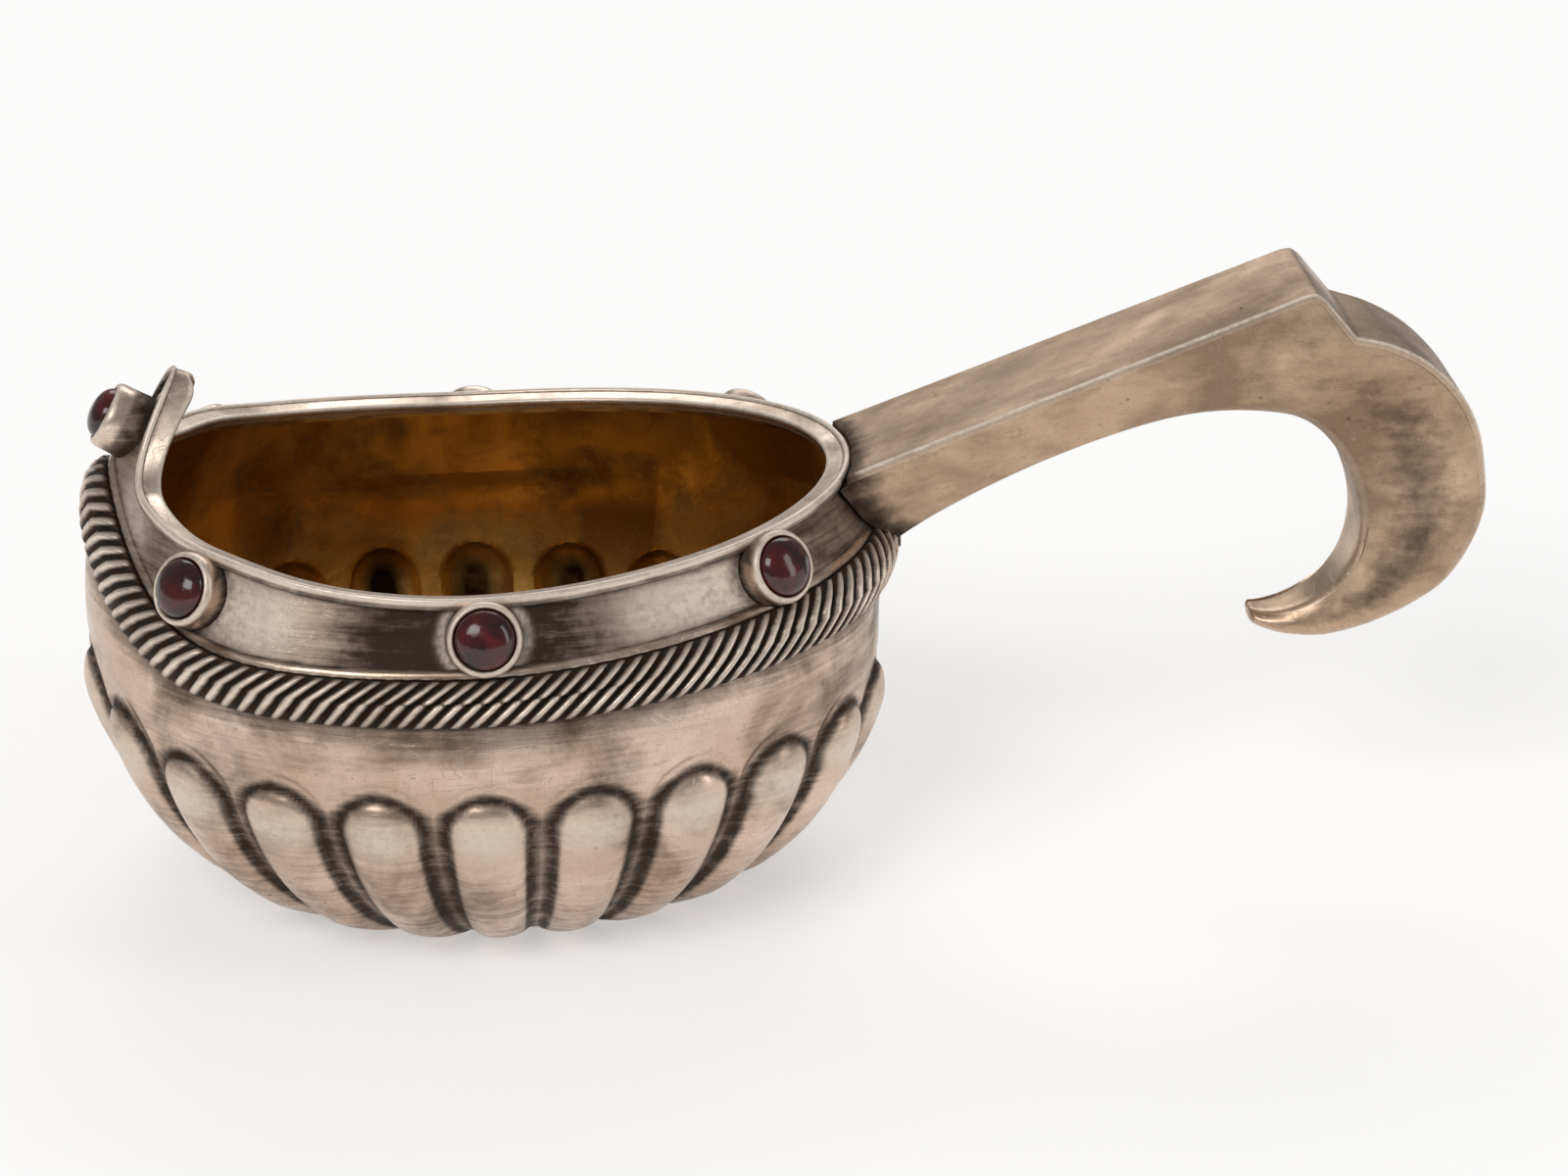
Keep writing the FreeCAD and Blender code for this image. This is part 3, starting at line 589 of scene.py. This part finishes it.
def makeBowl():
    outer, outerPatinaShade, outerCrownSheen = bowlRows(rowLevels(9, 30, 28, 22), 0.0, lobes["cutDepth"])
    inner, innerLobeShade, innerWorn = bowlRows(rowLevels(6, 22, 20, 12), cup["wall"], 0.0)
    under, floorRows = discRows(outer[0], 0.0), discRows(inner[0], cup["wall"])
    grid = np.concatenate([under, outer, inner[::-1], floorRows[::-1]])
    plain = np.zeros(under.shape[:2])
    hollow = np.concatenate([plain + 0.35, outerPatinaShade, innerLobeShade[::-1], plain])
    worn = np.concatenate([plain, outerCrownSheen, innerWorn[::-1], plain])
    faces = list(gridFaces(grid)) + capFaces(grid)
    giltRow = np.arange(len(grid) - 1) >= len(under) + len(outer) - 1
    inside = np.concatenate([np.repeat(giltRow.astype(int), grid.shape[1]), [0, 1]])
    return makePiece("silverBowl", "bowl", "silver", grid, faces, [bowlSilver, wornGilt], inside,
                     hollow=hollow, worn=worn)


bowl = makeBowl()
print("bowl made:", len(bowl.data.polygons), "faces")


# neck band

neck = {
    "stations": 900, "cordTop": 2.7, "filletRise": 1.3, "filletProud": 0.45, "silverLip": 1.3,
    "lipDepth": 2.0, "footDark": 0.62, "footSpread": 0.8, "topDark": 0.6, "topSpread": 0.9,
}
setting = {
    "margin": 1.0, "height": 3.3, "girdle": 2.8, "top": 5.1, "segments": 72,
    "rayStart": 3.0, "rayReach": 7.0, "sink": 0.12, "plainSink": 0.6,
    # dark ring of painted shade and patina on the neck, and pale solder round the near middle collet
    "ringWidth": 1.4, "wideRing": 2.6, "prowRing": 0.55,
    "crustOut": 0.55, "crustWidth": 0.6, "crustShare": 0.8,
}
# collets: degrees from the handle end, share of the neck's height, how proud, tilt, radius of the stone
seats = {"prow": (180.0, 0.54, 1.2, 0.75, 3.55)}
for side, sign in (("near", -1), ("far", 1)):
    for spot, degrees in (("fore", 138.0), ("mid", 88.0), ("aft", 42.0)):
        seats[side + "_" + spot] = (sign * degrees, 0.68, 0.05, 1.0, 3.9)

# stretches of the neck left dark, and stretches painted bright as highlights: middle and half width in
# degrees, strength
darkStretches = [(-90, 23, 0.92), (-148, 6, 0.45), (-27, 13, 0.60), (30, 14, 0.62), (72, 20, 0.70),
                 (115, 14, 0.6), (160, 9, 0.5)]
brightStretches = [(-125, 9, 0.9), (-57, 11, 1.0), (-163, 6, 0.7), (52, 8, 0.7), (98, 7, 0.6), (142, 8, 0.6)]


def seatFrame(name):
    # where a collet stands: its foot, its way out, its way round, its way up the face
    degrees, heightShare, proud, tilt, radius = seats[name]
    angle = math.radians(degrees)
    rise = float(topHeight(angle)) * heightShare
    normal = neckNormal(angle, rise).copy()
    normal[2] *= tilt
    normal = unit(normal)
    sideways = unit(np.cross([0, 0, 1], normal))
    return neckPoint(angle, rise) + normal * proud, normal, sideways, np.cross(normal, sideways), radius


def besideCollet(points, name):
    # distance from a collet's edge along the neck, and whether the neck is that near at all
    foot, normal, sideways, upward, radius = seatFrame(name)
    off = points - foot
    return np.hypot(off @ sideways, off @ upward) - (radius + setting["margin"]), np.abs(off @ normal) < 4


def aroundCollets(points):
    # dark ring of painted shade and patina where each collet meets the neck
    dark = np.zeros(points.shape[:-1])
    for name in seats:
        out, near = besideCollet(points, name)
        wide = setting["wideRing" if name == "near_mid" else "ringWidth"]
        ring = np.where(out > 0, fade(out, wide), 1.0)
        dark = np.maximum(dark, near * (setting["prowRing"] if name == "prow" else 1.0) * ring)
    return dark


def crustRound(points):
    # pale residue of the solder on the neck round the near middle collet
    out, near = besideCollet(points, "near_mid")
    return fade(out - setting["crustOut"], setting["crustWidth"]) * near * setting["crustShare"]


def byStretch(angle, stretches):
    degrees = (np.degrees(angle) + 180) % 360 - 180
    amount = 0 * angle
    for middle, half, strength in stretches:
        amount = np.maximum(amount, strength * np.exp(-((degrees - middle) / half) ** 4))
    return amount


def stripNormal(angle, rise):
    normal = neckNormal(angle, rise).copy()
    normal[..., 2] *= 0.4
    return unit(normal)


def makeNeck():
    angle = crowdedAngles(neck["stations"])
    top = topHeight(angle)
    foot, fillet, plain = neck["cordTop"], neck["filletRise"], 0 * angle
    rows, hollow, worn = [], [], []

    def addRow(points, dark, rubbedAndSheen=0.0):
        rows.append(points)
        hollow.append(plain + dark)
        worn.append(plain + rubbedAndSheen)

    for rise in np.linspace(0, foot, 4)[:-1]:
        addRow(neckPoint(angle, rise), 1.0)
    for share in np.linspace(0, 1, 9):
        rise = foot + fillet * share
        proud = neck["filletProud"] * math.sqrt(max(0, 1 - (2 * share - 1) ** 2))
        dark = 0.75 if share in (0, 1) else 0.05
        addRow(neckPoint(angle, rise) + levelNormal(angle, rise + plain) * proud, dark)
    for share in np.linspace(0, 1, 30)[1:]:
        rise = foot + fillet + (top - foot - fillet) * share
        points = neckPoint(angle, rise)
        # the neck darkens along its foot, and carries painted shade just under the rim's overhang
        edge = fade(rise - foot - fillet, neck["footSpread"]) * neck["footDark"]
        edge = edge + fade(top - rise, neck["topSpread"]) * neck["topDark"]
        dark = np.maximum.reduce([edge, aroundCollets(points) * 0.9, byStretch(angle, darkStretches)])
        # painted highlights where the neck catches the lamps, kept off its edges
        bright = byStretch(angle, brightStretches) * math.sin(math.pi * share) ** 0.5
        addRow(points, dark, np.maximum(crustRound(points), bright))

    # over the edge: a silver lip, then gilding
    inner = neckPoint(angle, top) - stripNormal(angle, top) * cup["wall"]
    for depth in (0.0, 0.4, 0.8, 1.15, neck["silverLip"], 1.45, neck["lipDepth"]):
        atLip = depth == neck["silverLip"]
        if atLip:
            giltFrom = len(rows)
        addRow(inner + (neckPoint(angle, top - depth) - neckPoint(angle, top)), 0.3 if atLip else 0.0)
    for share in np.linspace(0, 1, 18)[1:]:
        rise = (top - neck["lipDepth"]) * (1 - share)
        addRow(neckPoint(angle, rise) - neckNormal(angle, rise) * cup["wall"], 0.0)
    grid = np.stack(rows)
    inside = np.repeat((np.arange(len(rows)) >= giltFrom).astype(int), len(angle))
    return makePiece("neckBand", "neck_band", "silver", grid, gridFaces(grid, closeRows=True),
                     [neckSilver, wornGilt], inside, hollow=hollow, worn=worn)


neckBand = makeNeck()
print("neck band made:", len(neckBand.data.polygons), "faces")


# rim strip with its bead

rim = {"width": 3.3, "overhang": 1.2, "thickness": 1.3, "beadHeight": 0.3, "beadRadius": 0.45, "lift": 0.05,
       "tongueShare": 0.55, "tongueSpread": 0.34, "tipShare": 0.45, "tipSpread": 0.036}


def rimFrame(angle):
    here = neckPoint(angle, topHeight(angle))
    along = unit(neckPoint(angle + turnStep, topHeight(angle + turnStep))
                 - neckPoint(angle - turnStep, topHeight(angle - turnStep)))
    across = stripNormal(angle, topHeight(angle))
    return here, across, np.cross(across, along)


def rimSection():
    # out and up from the neck's edge, with the wear and painted highlight, and the patina and painted shade,
    # of each point
    inside, out, high = rim["overhang"] - rim["width"], rim["overhang"], rim["thickness"]
    section = [(inside, 0.0, 0, 0.5), (inside, high * 0.5, 0, 0.0), (inside, high - 0.25, 0.6, 0),
               (inside + 0.1, high - 0.07, 1, 0), (inside + 0.28, high, 0.9, 0), (inside + 0.7, high, 0.1, 0),
               (-0.3, high, 0.0, 0), (0.15, high, 0, 0.25)]
    bead = rim["beadRadius"]
    # a painted highlight along the bead's crest, and painted shade in the crease at its inner side
    for degrees in (165, 135, 105, 75, 45, 15, -15):
        turn = math.radians(degrees)
        dark = 0.9 if degrees == 165 else 0.0
        up = high + rim["beadHeight"] - bead + bead * math.sin(turn)
        section.append((out - bead + bead * math.cos(turn), up, 1.0 - dark, dark))
    # painted shade on the face under the overhang
    return section + [(out - 0.16, high * 0.42, 0.0, 0.6), (out - 0.25, high * 0.2, 0.1, 0.6),
                      (out - 0.45, 0.0, 0, 0.8)]


def makeRim():
    angle = crowdedAngles(neck["stations"])
    here, across, upward = rimFrame(angle)
    # the strip is broader up the tongue, and draws in at its tip
    broader = 1 + rim["tongueShare"] * fade(turnFromProw(angle), rim["tongueSpread"])
    tip = 1 - rim["tipShare"] * fade(turnFromProw(angle), rim["tipSpread"])
    rows, worn, hollow = [], [], []
    for out, up, wornShare, dark in rimSection():
        reach = (out * broader if out < 0 else out) * tip
        rows.append(here + across * reach[:, None] + upward * (up + rim["lift"]))
        worn.append(np.full(len(angle), wornShare))
        hollow.append(np.full(len(angle), dark))
    grid = np.stack(rows)
    makePiece("rimStrip", "rim_strip", "silver", grid, gridFaces(grid, closeRows=True)[:, ::-1],
              [rimSilver], worn=worn, hollow=hollow, sharpAngle=50)


makeRim()


# corded band: soldered reeds that lean along the band

cord = {"reeds": 126, "width": 5.4, "clear": 0.25, "crest": 1.8, "valley": 0.75, "slant": 6.6, "perReed": 16}


def cordPoint(angle, across, thickness):
    if across >= 0:
        return neckPoint(angle, across) + neckNormal(angle, across + 0 * angle) * thickness[:, None]
    level = 2 + across / (cup["neckFoot"] - cup["shoulder"])
    return bowlPoint(angle, level) + bowlNormal(angle, level + 0 * angle) * thickness[:, None]


def makeCord():
    # reeds of one width all the way round the seam
    fine = np.linspace(0, 2 * np.pi, 4001)
    lengths = lengthsAlong(neckPoint(fine, 0.0))
    ringLength = lengths[-1]
    count = cord["reeds"] * cord["perReed"]
    turns = np.interp(np.arange(count) * ringLength / count, lengths, fine)
    within = (np.arange(count) % cord["perReed"]) / cord["perReed"]
    crest = np.clip(1 - (2 * within - 1) ** 2, 0, 1) ** 1.15
    thickness = cord["valley"] + (cord["crest"] - cord["valley"]) * crest
    rows, hollow, worn = [], [], []
    front = list(np.linspace(-0.5, 0.5, 19))
    for share, back in [(-0.5, True)] + [(share, False) for share in front] + [(0.5, True), (0.0, True)]:
        lead = 2 * np.pi * cord["slant"] * share / ringLength
        arch = 0.0 if back else math.sqrt(max(0.0, 1 - (abs(share) / 0.56) ** 2))
        rows.append(cordPoint(turns + lead, share * cord["width"], cord["clear"] + thickness * arch))
        # painted shade with patina in the valleys between reeds, and painted highlights along their crests
        hollow.append(np.clip(1.55 - 1.55 * crest * (0.45 + 0.55 * arch), 0, 1))
        worn.append(np.clip((crest - 0.80) * 6, 0, 1) * max(0.0, arch - 0.3))
    grid = np.stack(rows)
    makePiece("cordedBand", "corded_band", "dark_silver", grid, gridFaces(grid, closeRows=True),
              [cordSilver], hollow=hollow, worn=worn, sharpAngle=179)


makeCord()
print("rim and corded band made")


# handle: a trough closed by a flat cover, from the neck to the peak and round the hook

handle = {
    "setIn": 3.87, "above": 0.2, "run": 65.7, "rise": 25.2, "notch": (5.4, -6.5), "hook": (-6.2, -33.2),
    "depth": 10.5, "peakRound": 1.6, "radius": 31.6, "bore": 14.4,
    # the keel under the peak lies this many depths below it and behind it
    "peakBelow": 1.5, "peakBehind": 1.06,
    "plate": 10.9, "peakPlate": 10.2, "keel": 5.5, "hookBulge": 1.2, "gripBulge": 0.5,
    "cover": 1.0, "seam": 0.05, "arris": 0.36, "keelSoft": 1.5,
    # share of the length, share of the depth, slip of the keel towards the cup
    "grip": [(0.00, 1.34, -0.45), (0.08, 1.24, -0.20), (0.17, 1.16, 0.00), (0.27, 1.07, 0.00),
             (0.37, 1.01, 0.00), (0.48, 1.00, 0.00), (0.58, 1.02, 0.00), (0.69, 1.08, 0.10),
             (0.79, 1.22, 0.27), (0.90, 1.37, 0.65)],
    # degrees round the hook, shares of the radius, the bore, the plate and the keel
    "turn": [
        (66.6, 0.924, 1.042, 1.01, 1), (56, 0.958, 1.01, 0.93, 1), (45, 0.99, 0.993, 0.843, 1),
        (33, 1.01, 0.972, 0.745, 0.99), (22, 1.012, 0.965, 0.647, 0.98), (11, 1, 0.975, 0.569, 0.96),
        (0, 0.994, 1, 0.53, 0.95), (-11, 0.957, 1.03, 0.505, 0.93), (-22, 0.905, 1.063, 0.49, 0.91),
        (-32, 0.832, 1.09, 0.47, 0.87), (-42, 0.766, 1.111, 0.45, 0.84), (-51, 0.718, 1.118, 0.422, 0.79),
        (-60, 0.677, 1.118, 0.392, 0.74), (-68, 0.638, 1.115, 0.355, 0.66), (-76, 0.601, 1.111, 0.314, 0.58),
        (-82, 0.575, 1.09, 0.255, 0.46), (-86, 0.557, 1.069, 0.196, 0.36),
    ],
    # outer face of the cup at its handle end: height, reach
    "seat": [(20.0, 50.0), (32.0, 53.2), (38.5, 53.8), (39.5, 54.4), (42.0, 55.6), (46.8, 55.75),
             (49.6, 54.2), (50.6, 52.6), (51.0, 51.6), (57.0, 48.1), (57.3, 49.3), (59.1, 49.1)],
    "seatSpan": 43.0,
    "tip": [(0.93, 0.35), (0.78, 0.62), (0.5, 0.82), (0.2, 0.9)],
    # band of painted shade and patina down each side, strongest round the hook
    "band": [0.1, 0.0, 0.1, 0.3, 0.55, 0.5, 0.3, 0.1], "bandStation": 118, "bandSpread": 38.0,
    # how far from the cup the dark of the root runs
    "troughRoot": 6.0, "coverRoot": 3.0,
}


def smoothRows(rows, steps):
    # a smooth line through a table's rows, each part cut into steps
    rows = np.asarray(rows, float)
    ends = np.concatenate([[2 * rows[0] - rows[1]], rows, [2 * rows[-1] - rows[-2]]])
    result = []
    for index in range(1, len(ends) - 2):
        before, start, end, after = ends[index - 1:index + 3]
        for share in np.arange(steps) / steps:
            square, cube = share ** 2, share ** 3
            result.append(0.5 * (2 * start + (end - before) * share
                                 + (2 * before - 5 * start + 4 * end - after) * square
                                 + (3 * start - before - 3 * end + after) * cube))
    result.append(rows[-1])
    return np.array(result)


def handleStations():
    # rows of outer x z, inner x z, outer and inner half width, side bulge
    top = neckPoint(0.0, float(topHeight(0.0)))
    root = np.array([top[0] - handle["setIn"], top[2] + handle["above"]])
    peak = root + np.array([handle["run"], handle["rise"]])
    notch = peak + np.array(handle["notch"])
    onward = unit(peak - root)
    downward = np.array([onward[1], -onward[0]])
    length, depth = np.linalg.norm(peak - root), handle["depth"]
    grip = []
    for along, deep, slip in handle["grip"]:
        outer = root + onward * along * length
        inner = outer + downward * deep * depth - onward * slip * depth
        plate = handle["plate"] + (handle["peakPlate"] - handle["plate"]) * along
        grip.append([*outer, *inner, plate, handle["keel"], handle["gripBulge"]])
    centre = peak + np.array(handle["hook"])
    hook = []
    for degrees, outerShare, innerShare, widthShare, keelShare in handle["turn"]:
        spoke = np.array([math.cos(math.radians(degrees)), math.sin(math.radians(degrees))])
        outer = centre + spoke * outerShare * handle["radius"]
        inner = centre + spoke * innerShare * handle["bore"]
        bulge = handle["gripBulge"] + (handle["hookBulge"] - handle["gripBulge"]) * min(1, len(hook) / 4)
        hook.append([*outer, *inner, widthShare * handle["peakPlate"], keelShare * handle["keel"], bulge])
    hook[0][0:2] = notch
    under = peak + downward * handle["peakBelow"] * depth - onward * handle["peakBehind"] * depth
    ahead = np.array(hook[0][2:4])
    away, soft = unit(notch - peak), handle["peakRound"]
    corners = [peak - onward * soft, peak + (away - onward) * soft * 0.25, peak + away * soft]
    sizes = [handle["peakPlate"], handle["keel"], handle["gripBulge"]]
    bend = [[*corner, *(under + (ahead - under) * index / 4), *sizes] for index, corner in enumerate(corners)]
    runs = [smoothRows(grip + bend[:1], 6), smoothRows(bend, 4), smoothRows(bend[-1:] + hook[:1], 5)]
    stations = np.concatenate([run[:-1] for run in runs] + [smoothRows(hook, 6)])
    # the keel runs on in one soft line where the top has its corners
    for passing in range(3):
        keel = stations[:, 2:4]
        stations[4:-4, 2:4] = sum(keel[shift:len(keel) - 8 + shift] for shift in range(9)) / 9
    return stations


def clearOfCup(points):
    # how far a point lies off the cup's outer face
    heights, faces = np.array(handle["seat"]).T
    reach = np.interp(points[..., 2], heights, faces) - cup["station"]
    face = cup["station"] + reach * np.sqrt(np.clip(1 - (points[..., 1] / handle["seatSpan"]) ** 2, 0, 1))
    return points[..., 0] - face


def handleGrid(columns, middles):
    # seats the root on the cup, and draws the tip in over its last millimetre
    grid = np.stack(columns, axis=1)
    grid[..., 0] += np.maximum(-clearOfCup(grid), 0)
    clear = clearOfCup(grid)
    middle, before = middles[-1], middles[-3]
    onward = unit(middle - before)
    rows = [middle + (grid[-1] - middle) * share + onward * further for share, further in handle["tip"]]
    return np.concatenate([grid, np.stack(rows)]), clear


def toTip(values):
    return np.concatenate([values, np.repeat(values[-1:], len(handle["tip"]), axis=0)])


def makeHandle():
    stations = handleStations()
    outer, inner = stations[:, 0:2], stations[:, 2:4]
    outerWidth, innerWidth, bulge = stations[:, 4], stations[:, 5], stations[:, 6]
    span = np.linalg.norm(inner - outer, axis=1)
    down = (inner - outer) / span[:, None]
    middles = np.insert((outer + inner) / 2, 1, 0, axis=1)
    none = 0 * span

    def place(depth, width):
        spine = outer + down * (none + depth)[:, None]
        return np.stack([spine[:, 0], width, spine[:, 1]], axis=-1)

    def sideWidth(depth):
        share = depth / span
        return outerWidth + (innerWidth - outerWidth) * share + 4 * bulge * share * (1 - share)

    def mirrored(half, middle, extra):
        # both sides of a section; middle is 1 where its last column lies on the middle line
        right = [place(depth, width) for depth, width, wornShare in half]
        left = [place(depth, -width) for depth, width, wornShare in half[::-1]][middle:]
        shares = [wornShare for depth, width, wornShare in half]
        grid, clear = handleGrid(right + left + extra, middles)
        return grid, clear, np.array(shares + shares[::-1][middle:] + [0] * len(extra))

    # trough, seen in section: top edge, bowed side, soft keel corner
    topDepth = handle["cover"] + handle["seam"]
    half = []
    for share in (0.0, 0.03, 0.12, 0.25, 0.4, 0.55, 0.7, 0.83, 0.92):
        depth = topDepth + (span - topDepth) * share
        half.append((depth, sideWidth(depth), 0.0))
    soft = np.minimum(handle["keelSoft"], innerWidth * 0.45)
    for degrees in (12, 32, 52, 72):
        turn = math.radians(degrees)
        depth = span - soft * (1 - math.sin(turn)) * 0.8
        half.append((depth, sideWidth(span) - soft * (1 - math.cos(turn)), 0.2))
    half.append((span, sideWidth(span) - soft, 0.1))
    half.append((span, (sideWidth(span) - soft) * 0.5, 0.0))
    grid, clear, rubbedAndSheen = mirrored(half, 0, [])
    sides = handle["band"] + [0] * (len(half) - len(handle["band"]))
    roundHook = fade(np.arange(len(stations)) - handle["bandStation"], handle["bandSpread"])[:, None]
    band = np.array(sides + sides[::-1]) * (0.12 + 0.85 * roundHook)
    band[:, 0] = band[:, -1] = sides[0]
    hollow = toTip(np.maximum(np.clip(1.15 - clear / handle["troughRoot"], 0, 1) * 0.8, band))
    faces = list(gridFaces(grid)[:, ::-1]) + [face[::-1] for face in capFaces(grid)]
    makePiece("handleTrough", "handle_trough", "silver", grid, faces, [handleSilver],
              hollow=hollow, worn=rubbedAndSheen * (hollow < 0.4), sharpAngle=42)

    # cover with softly worn arrises, rubbed bright and painted as a highlight
    arris = np.minimum(handle["arris"], outerWidth * 0.2)
    half = [(handle["cover"], outerWidth - 0.05, 0.2), (arris * 1.1, outerWidth, 0.2),
            (arris * 0.3, outerWidth - arris * 0.3, 1.0), (none, outerWidth - arris * 1.1, 1.0),
            (none, outerWidth - arris * 2.0, 0.0), (none, outerWidth * 0.5, 0.0), (none, none, 0.0)]
    underside = [place(handle["cover"], outerWidth * share) for share in (-0.5, 0.5)]
    grid, clear, rubbedAndSheen = mirrored(half, 1, underside)
    hollow = toTip(np.clip(1.1 - clear / handle["coverRoot"], 0, 1) * 0.75)
    makePiece("handleCover", "handle_cover", "silver", grid, list(gridFaces(grid)) + capFaces(grid),
              [handleSilver], hollow=hollow, worn=rubbedAndSheen * (hollow < 0.4), sharpAngle=42)


makeHandle()
print("handle made")


# collets and garnets

neckTree = BVHTree.FromObject(neckBand, bpy.context.evaluated_depsgraph_get())


def neckUnder(point, normal):
    # height of the neck's face below a point of the seat, measured along the seat's axis
    start = Vector((point + normal * setting["rayStart"]) * mm)
    hit = neckTree.ray_cast(start, Vector(-normal))
    if hit[0] is None or hit[3] >= setting["rayReach"] * mm:
        return -setting["plainSink"]
    return setting["rayStart"] - hit[3] / mm - setting["sink"]


def turnedPiece(name, node, slotName, seat, profile, material, sunk):
    # a profile of (radius, height, wear and painted highlight, patina and painted shade) turned round the
    # seat's axis
    foot, normal, sideways, upward = seat[:4]
    turn = 2 * np.pi * np.arange(setting["segments"]) / setting["segments"]
    spokes = np.cos(turn)[:, None] * sideways + np.sin(turn)[:, None] * upward
    rows, worn, hollow = [], [], []
    for reach, height, wornShare, dark in profile:
        base = np.full(len(turn), float(height))
        if height <= 0 and sunk:
            # the foot follows the neck
            base += [neckUnder(foot + spoke * reach, normal) for spoke in spokes]
        rows.append(foot + spokes * reach + normal * base[:, None])
        worn.append(np.full(len(turn), wornShare))
        hollow.append(np.full(len(turn), dark))
    grid = np.stack(rows)
    makePiece(name, node, slotName, grid, list(gridFaces(grid)) + capFaces(grid), [material],
              worn=worn, hollow=hollow, sharpAngle=50)


def makeSetting(name):
    seat = seatFrame(name)
    radius = seat[4]
    wide, high = radius + setting["margin"], setting["height"]
    # the collet wall darkens towards its foot and inside the bezel as painted shade, and its bezel lip is
    # painted bright as a highlight with its wear
    collet = [(radius + 0.05, -0.02, 0, 0.5), (wide + 0.12, 0.0, 0, 1.0), (wide + 0.02, 0.55, 0, 0.65),
              (wide, 1.2, 0, 0.2), (wide, 2.1, 0, 0.1), (wide - 0.04, high - 0.75, 0.2, 0.0),
              (wide - 0.18, high - 0.35, 0.8, 0.0), (wide - 0.42, high - 0.08, 1.0, 0.0),
              (wide - 0.62, high, 0.9, 0.0), (radius + 0.18, high - 0.06, 0.3, 0.35),
              (radius + 0.05, high - 0.30, 0, 0.95), (radius + 0.05, high - 1.2, 0, 1.0)]
    turnedPiece("collet_" + name + "_turned", "collet_" + name, "silver", seat, collet, colletSilver, True)
    girdle, top = setting["girdle"], setting["top"]
    dome = [(radius * 0.90, 0.3, 0, 0), (radius * 0.99, girdle - 0.4, 0, 0)]
    for degrees in (6, 18, 30, 42, 54, 66, 76, 84, 88.5):
        turn = math.radians(degrees)
        dome.append((radius * math.cos(turn) ** 0.92, girdle + (top - girdle) * math.sin(turn) ** 0.95, 0, 0))
    turnedPiece("garnet_" + name + "_domed", "garnet_" + name, "garnet", seat, dome, garnetRed, False)


for seatName in seats:
    makeSetting(seatName)
print("seven garnets set")


# floor, light and camera

studio = {
    "worldGrey": 0.27,
    "floorColour": (0.84, 0.83, 0.82), "floorGlow": 0.44, "floorReach": 6.0, "floorHeight": -0.0002,
    # name: place, aim, width, height, watts
    "lamps": {
        "keySoftbox": ((-0.50, -0.80, 0.85), (0, 0, 0.04), 0.70, 0.50, 5.2),
        "sideStrip": ((1.05, -0.45, 0.45), (0.03, 0, 0.04), 0.30, 0.90, 2.0),
        "backFill": ((0.15, 0.95, 0.85), (0, 0, 0.05), 1.0, 0.55, 3.6),
    },
    "target": (0.040, 0.0, 0.03875), "azimuth": -4.6, "elevation": 22.5, "distance": 0.608, "lens": 102.6,
}


def aimed(place, aim):
    back = Vector(place) - Vector(aim)
    return Matrix.Translation(place) @ back.to_track_quat("Z", "Y").to_matrix().to_4x4()


def addFloor():
    mesh = bpy.data.meshes.new("paleFloor")
    reach, height = studio["floorReach"], studio["floorHeight"]
    corners = [(x * reach, y * reach, height) for x, y in ((-1, -1), (1, -1), (1, 1), (-1, 1))]
    mesh.from_pydata(corners, [], [(0, 1, 2, 3)])
    floor = bpy.data.objects.new("paleFloor", mesh)
    bpy.context.scene.collection.objects.link(floor)
    material, tree, shader = startMaterial("paleFloorPaint")
    mottle = addNoise(tree, ownPlace(tree), 3.0, 3.0, 0.5)
    paler = [value + 0.01 for value in studio["floorColour"]]
    colour = mixColour(tree, mottle, rgb(*studio["floorColour"]), rgb(*paler))
    # the eye, the metal and the stones see a white floor, which still takes the shadow
    path = addNode(tree, "ShaderNodeLightPath")
    seen = maths(tree, "MAXIMUM", path.outputs["Is Camera Ray"], path.outputs["Is Glossy Ray"])
    seen = maths(tree, "MAXIMUM", seen, path.outputs["Is Transmission Ray"])
    glow = times(tree, seen, studio["floorGlow"])
    wire(tree, shader, {"Base Color": colour, "Roughness": 0.9, "Specular IOR Level": 0.1,
                        "Emission Color": rgb(1, 1, 1), "Emission Strength": glow})
    mesh.materials.append(material)


def addLight():
    for name, (place, aim, width, height, watts) in studio["lamps"].items():
        light = bpy.data.lights.new(name, "AREA")
        light.shape, light.size, light.size_y, light.energy = "RECTANGLE", width, height, watts
        lamp = bpy.data.objects.new(name, light)
        lamp.matrix_world = aimed(place, aim)
        bpy.context.scene.collection.objects.link(lamp)
    world = bpy.data.worlds.new("studioRoom")
    world.use_nodes = True
    grey = studio["worldGrey"]
    world.node_tree.nodes["Background"].inputs["Color"].default_value = rgb(grey, grey, grey)
    bpy.context.scene.world = world


def addCamera():
    azimuth, elevation = math.radians(studio["azimuth"]), math.radians(studio["elevation"])
    level = math.cos(elevation)
    back = Vector((math.sin(azimuth) * level, -math.cos(azimuth) * level, math.sin(elevation)))
    data = bpy.data.cameras.new("photoCamera")
    data.lens, data.sensor_width, data.clip_start = studio["lens"], 36.0, 0.01
    camera = bpy.data.objects.new("photoCamera", data)
    camera.matrix_world = aimed(Vector(studio["target"]) + back * studio["distance"], studio["target"])
    bpy.context.scene.collection.objects.link(camera)
    bpy.context.scene.camera = camera


addFloor()
addLight()
addCamera()
bpy.context.scene.view_settings.view_transform = "Standard"
print("studio ready")
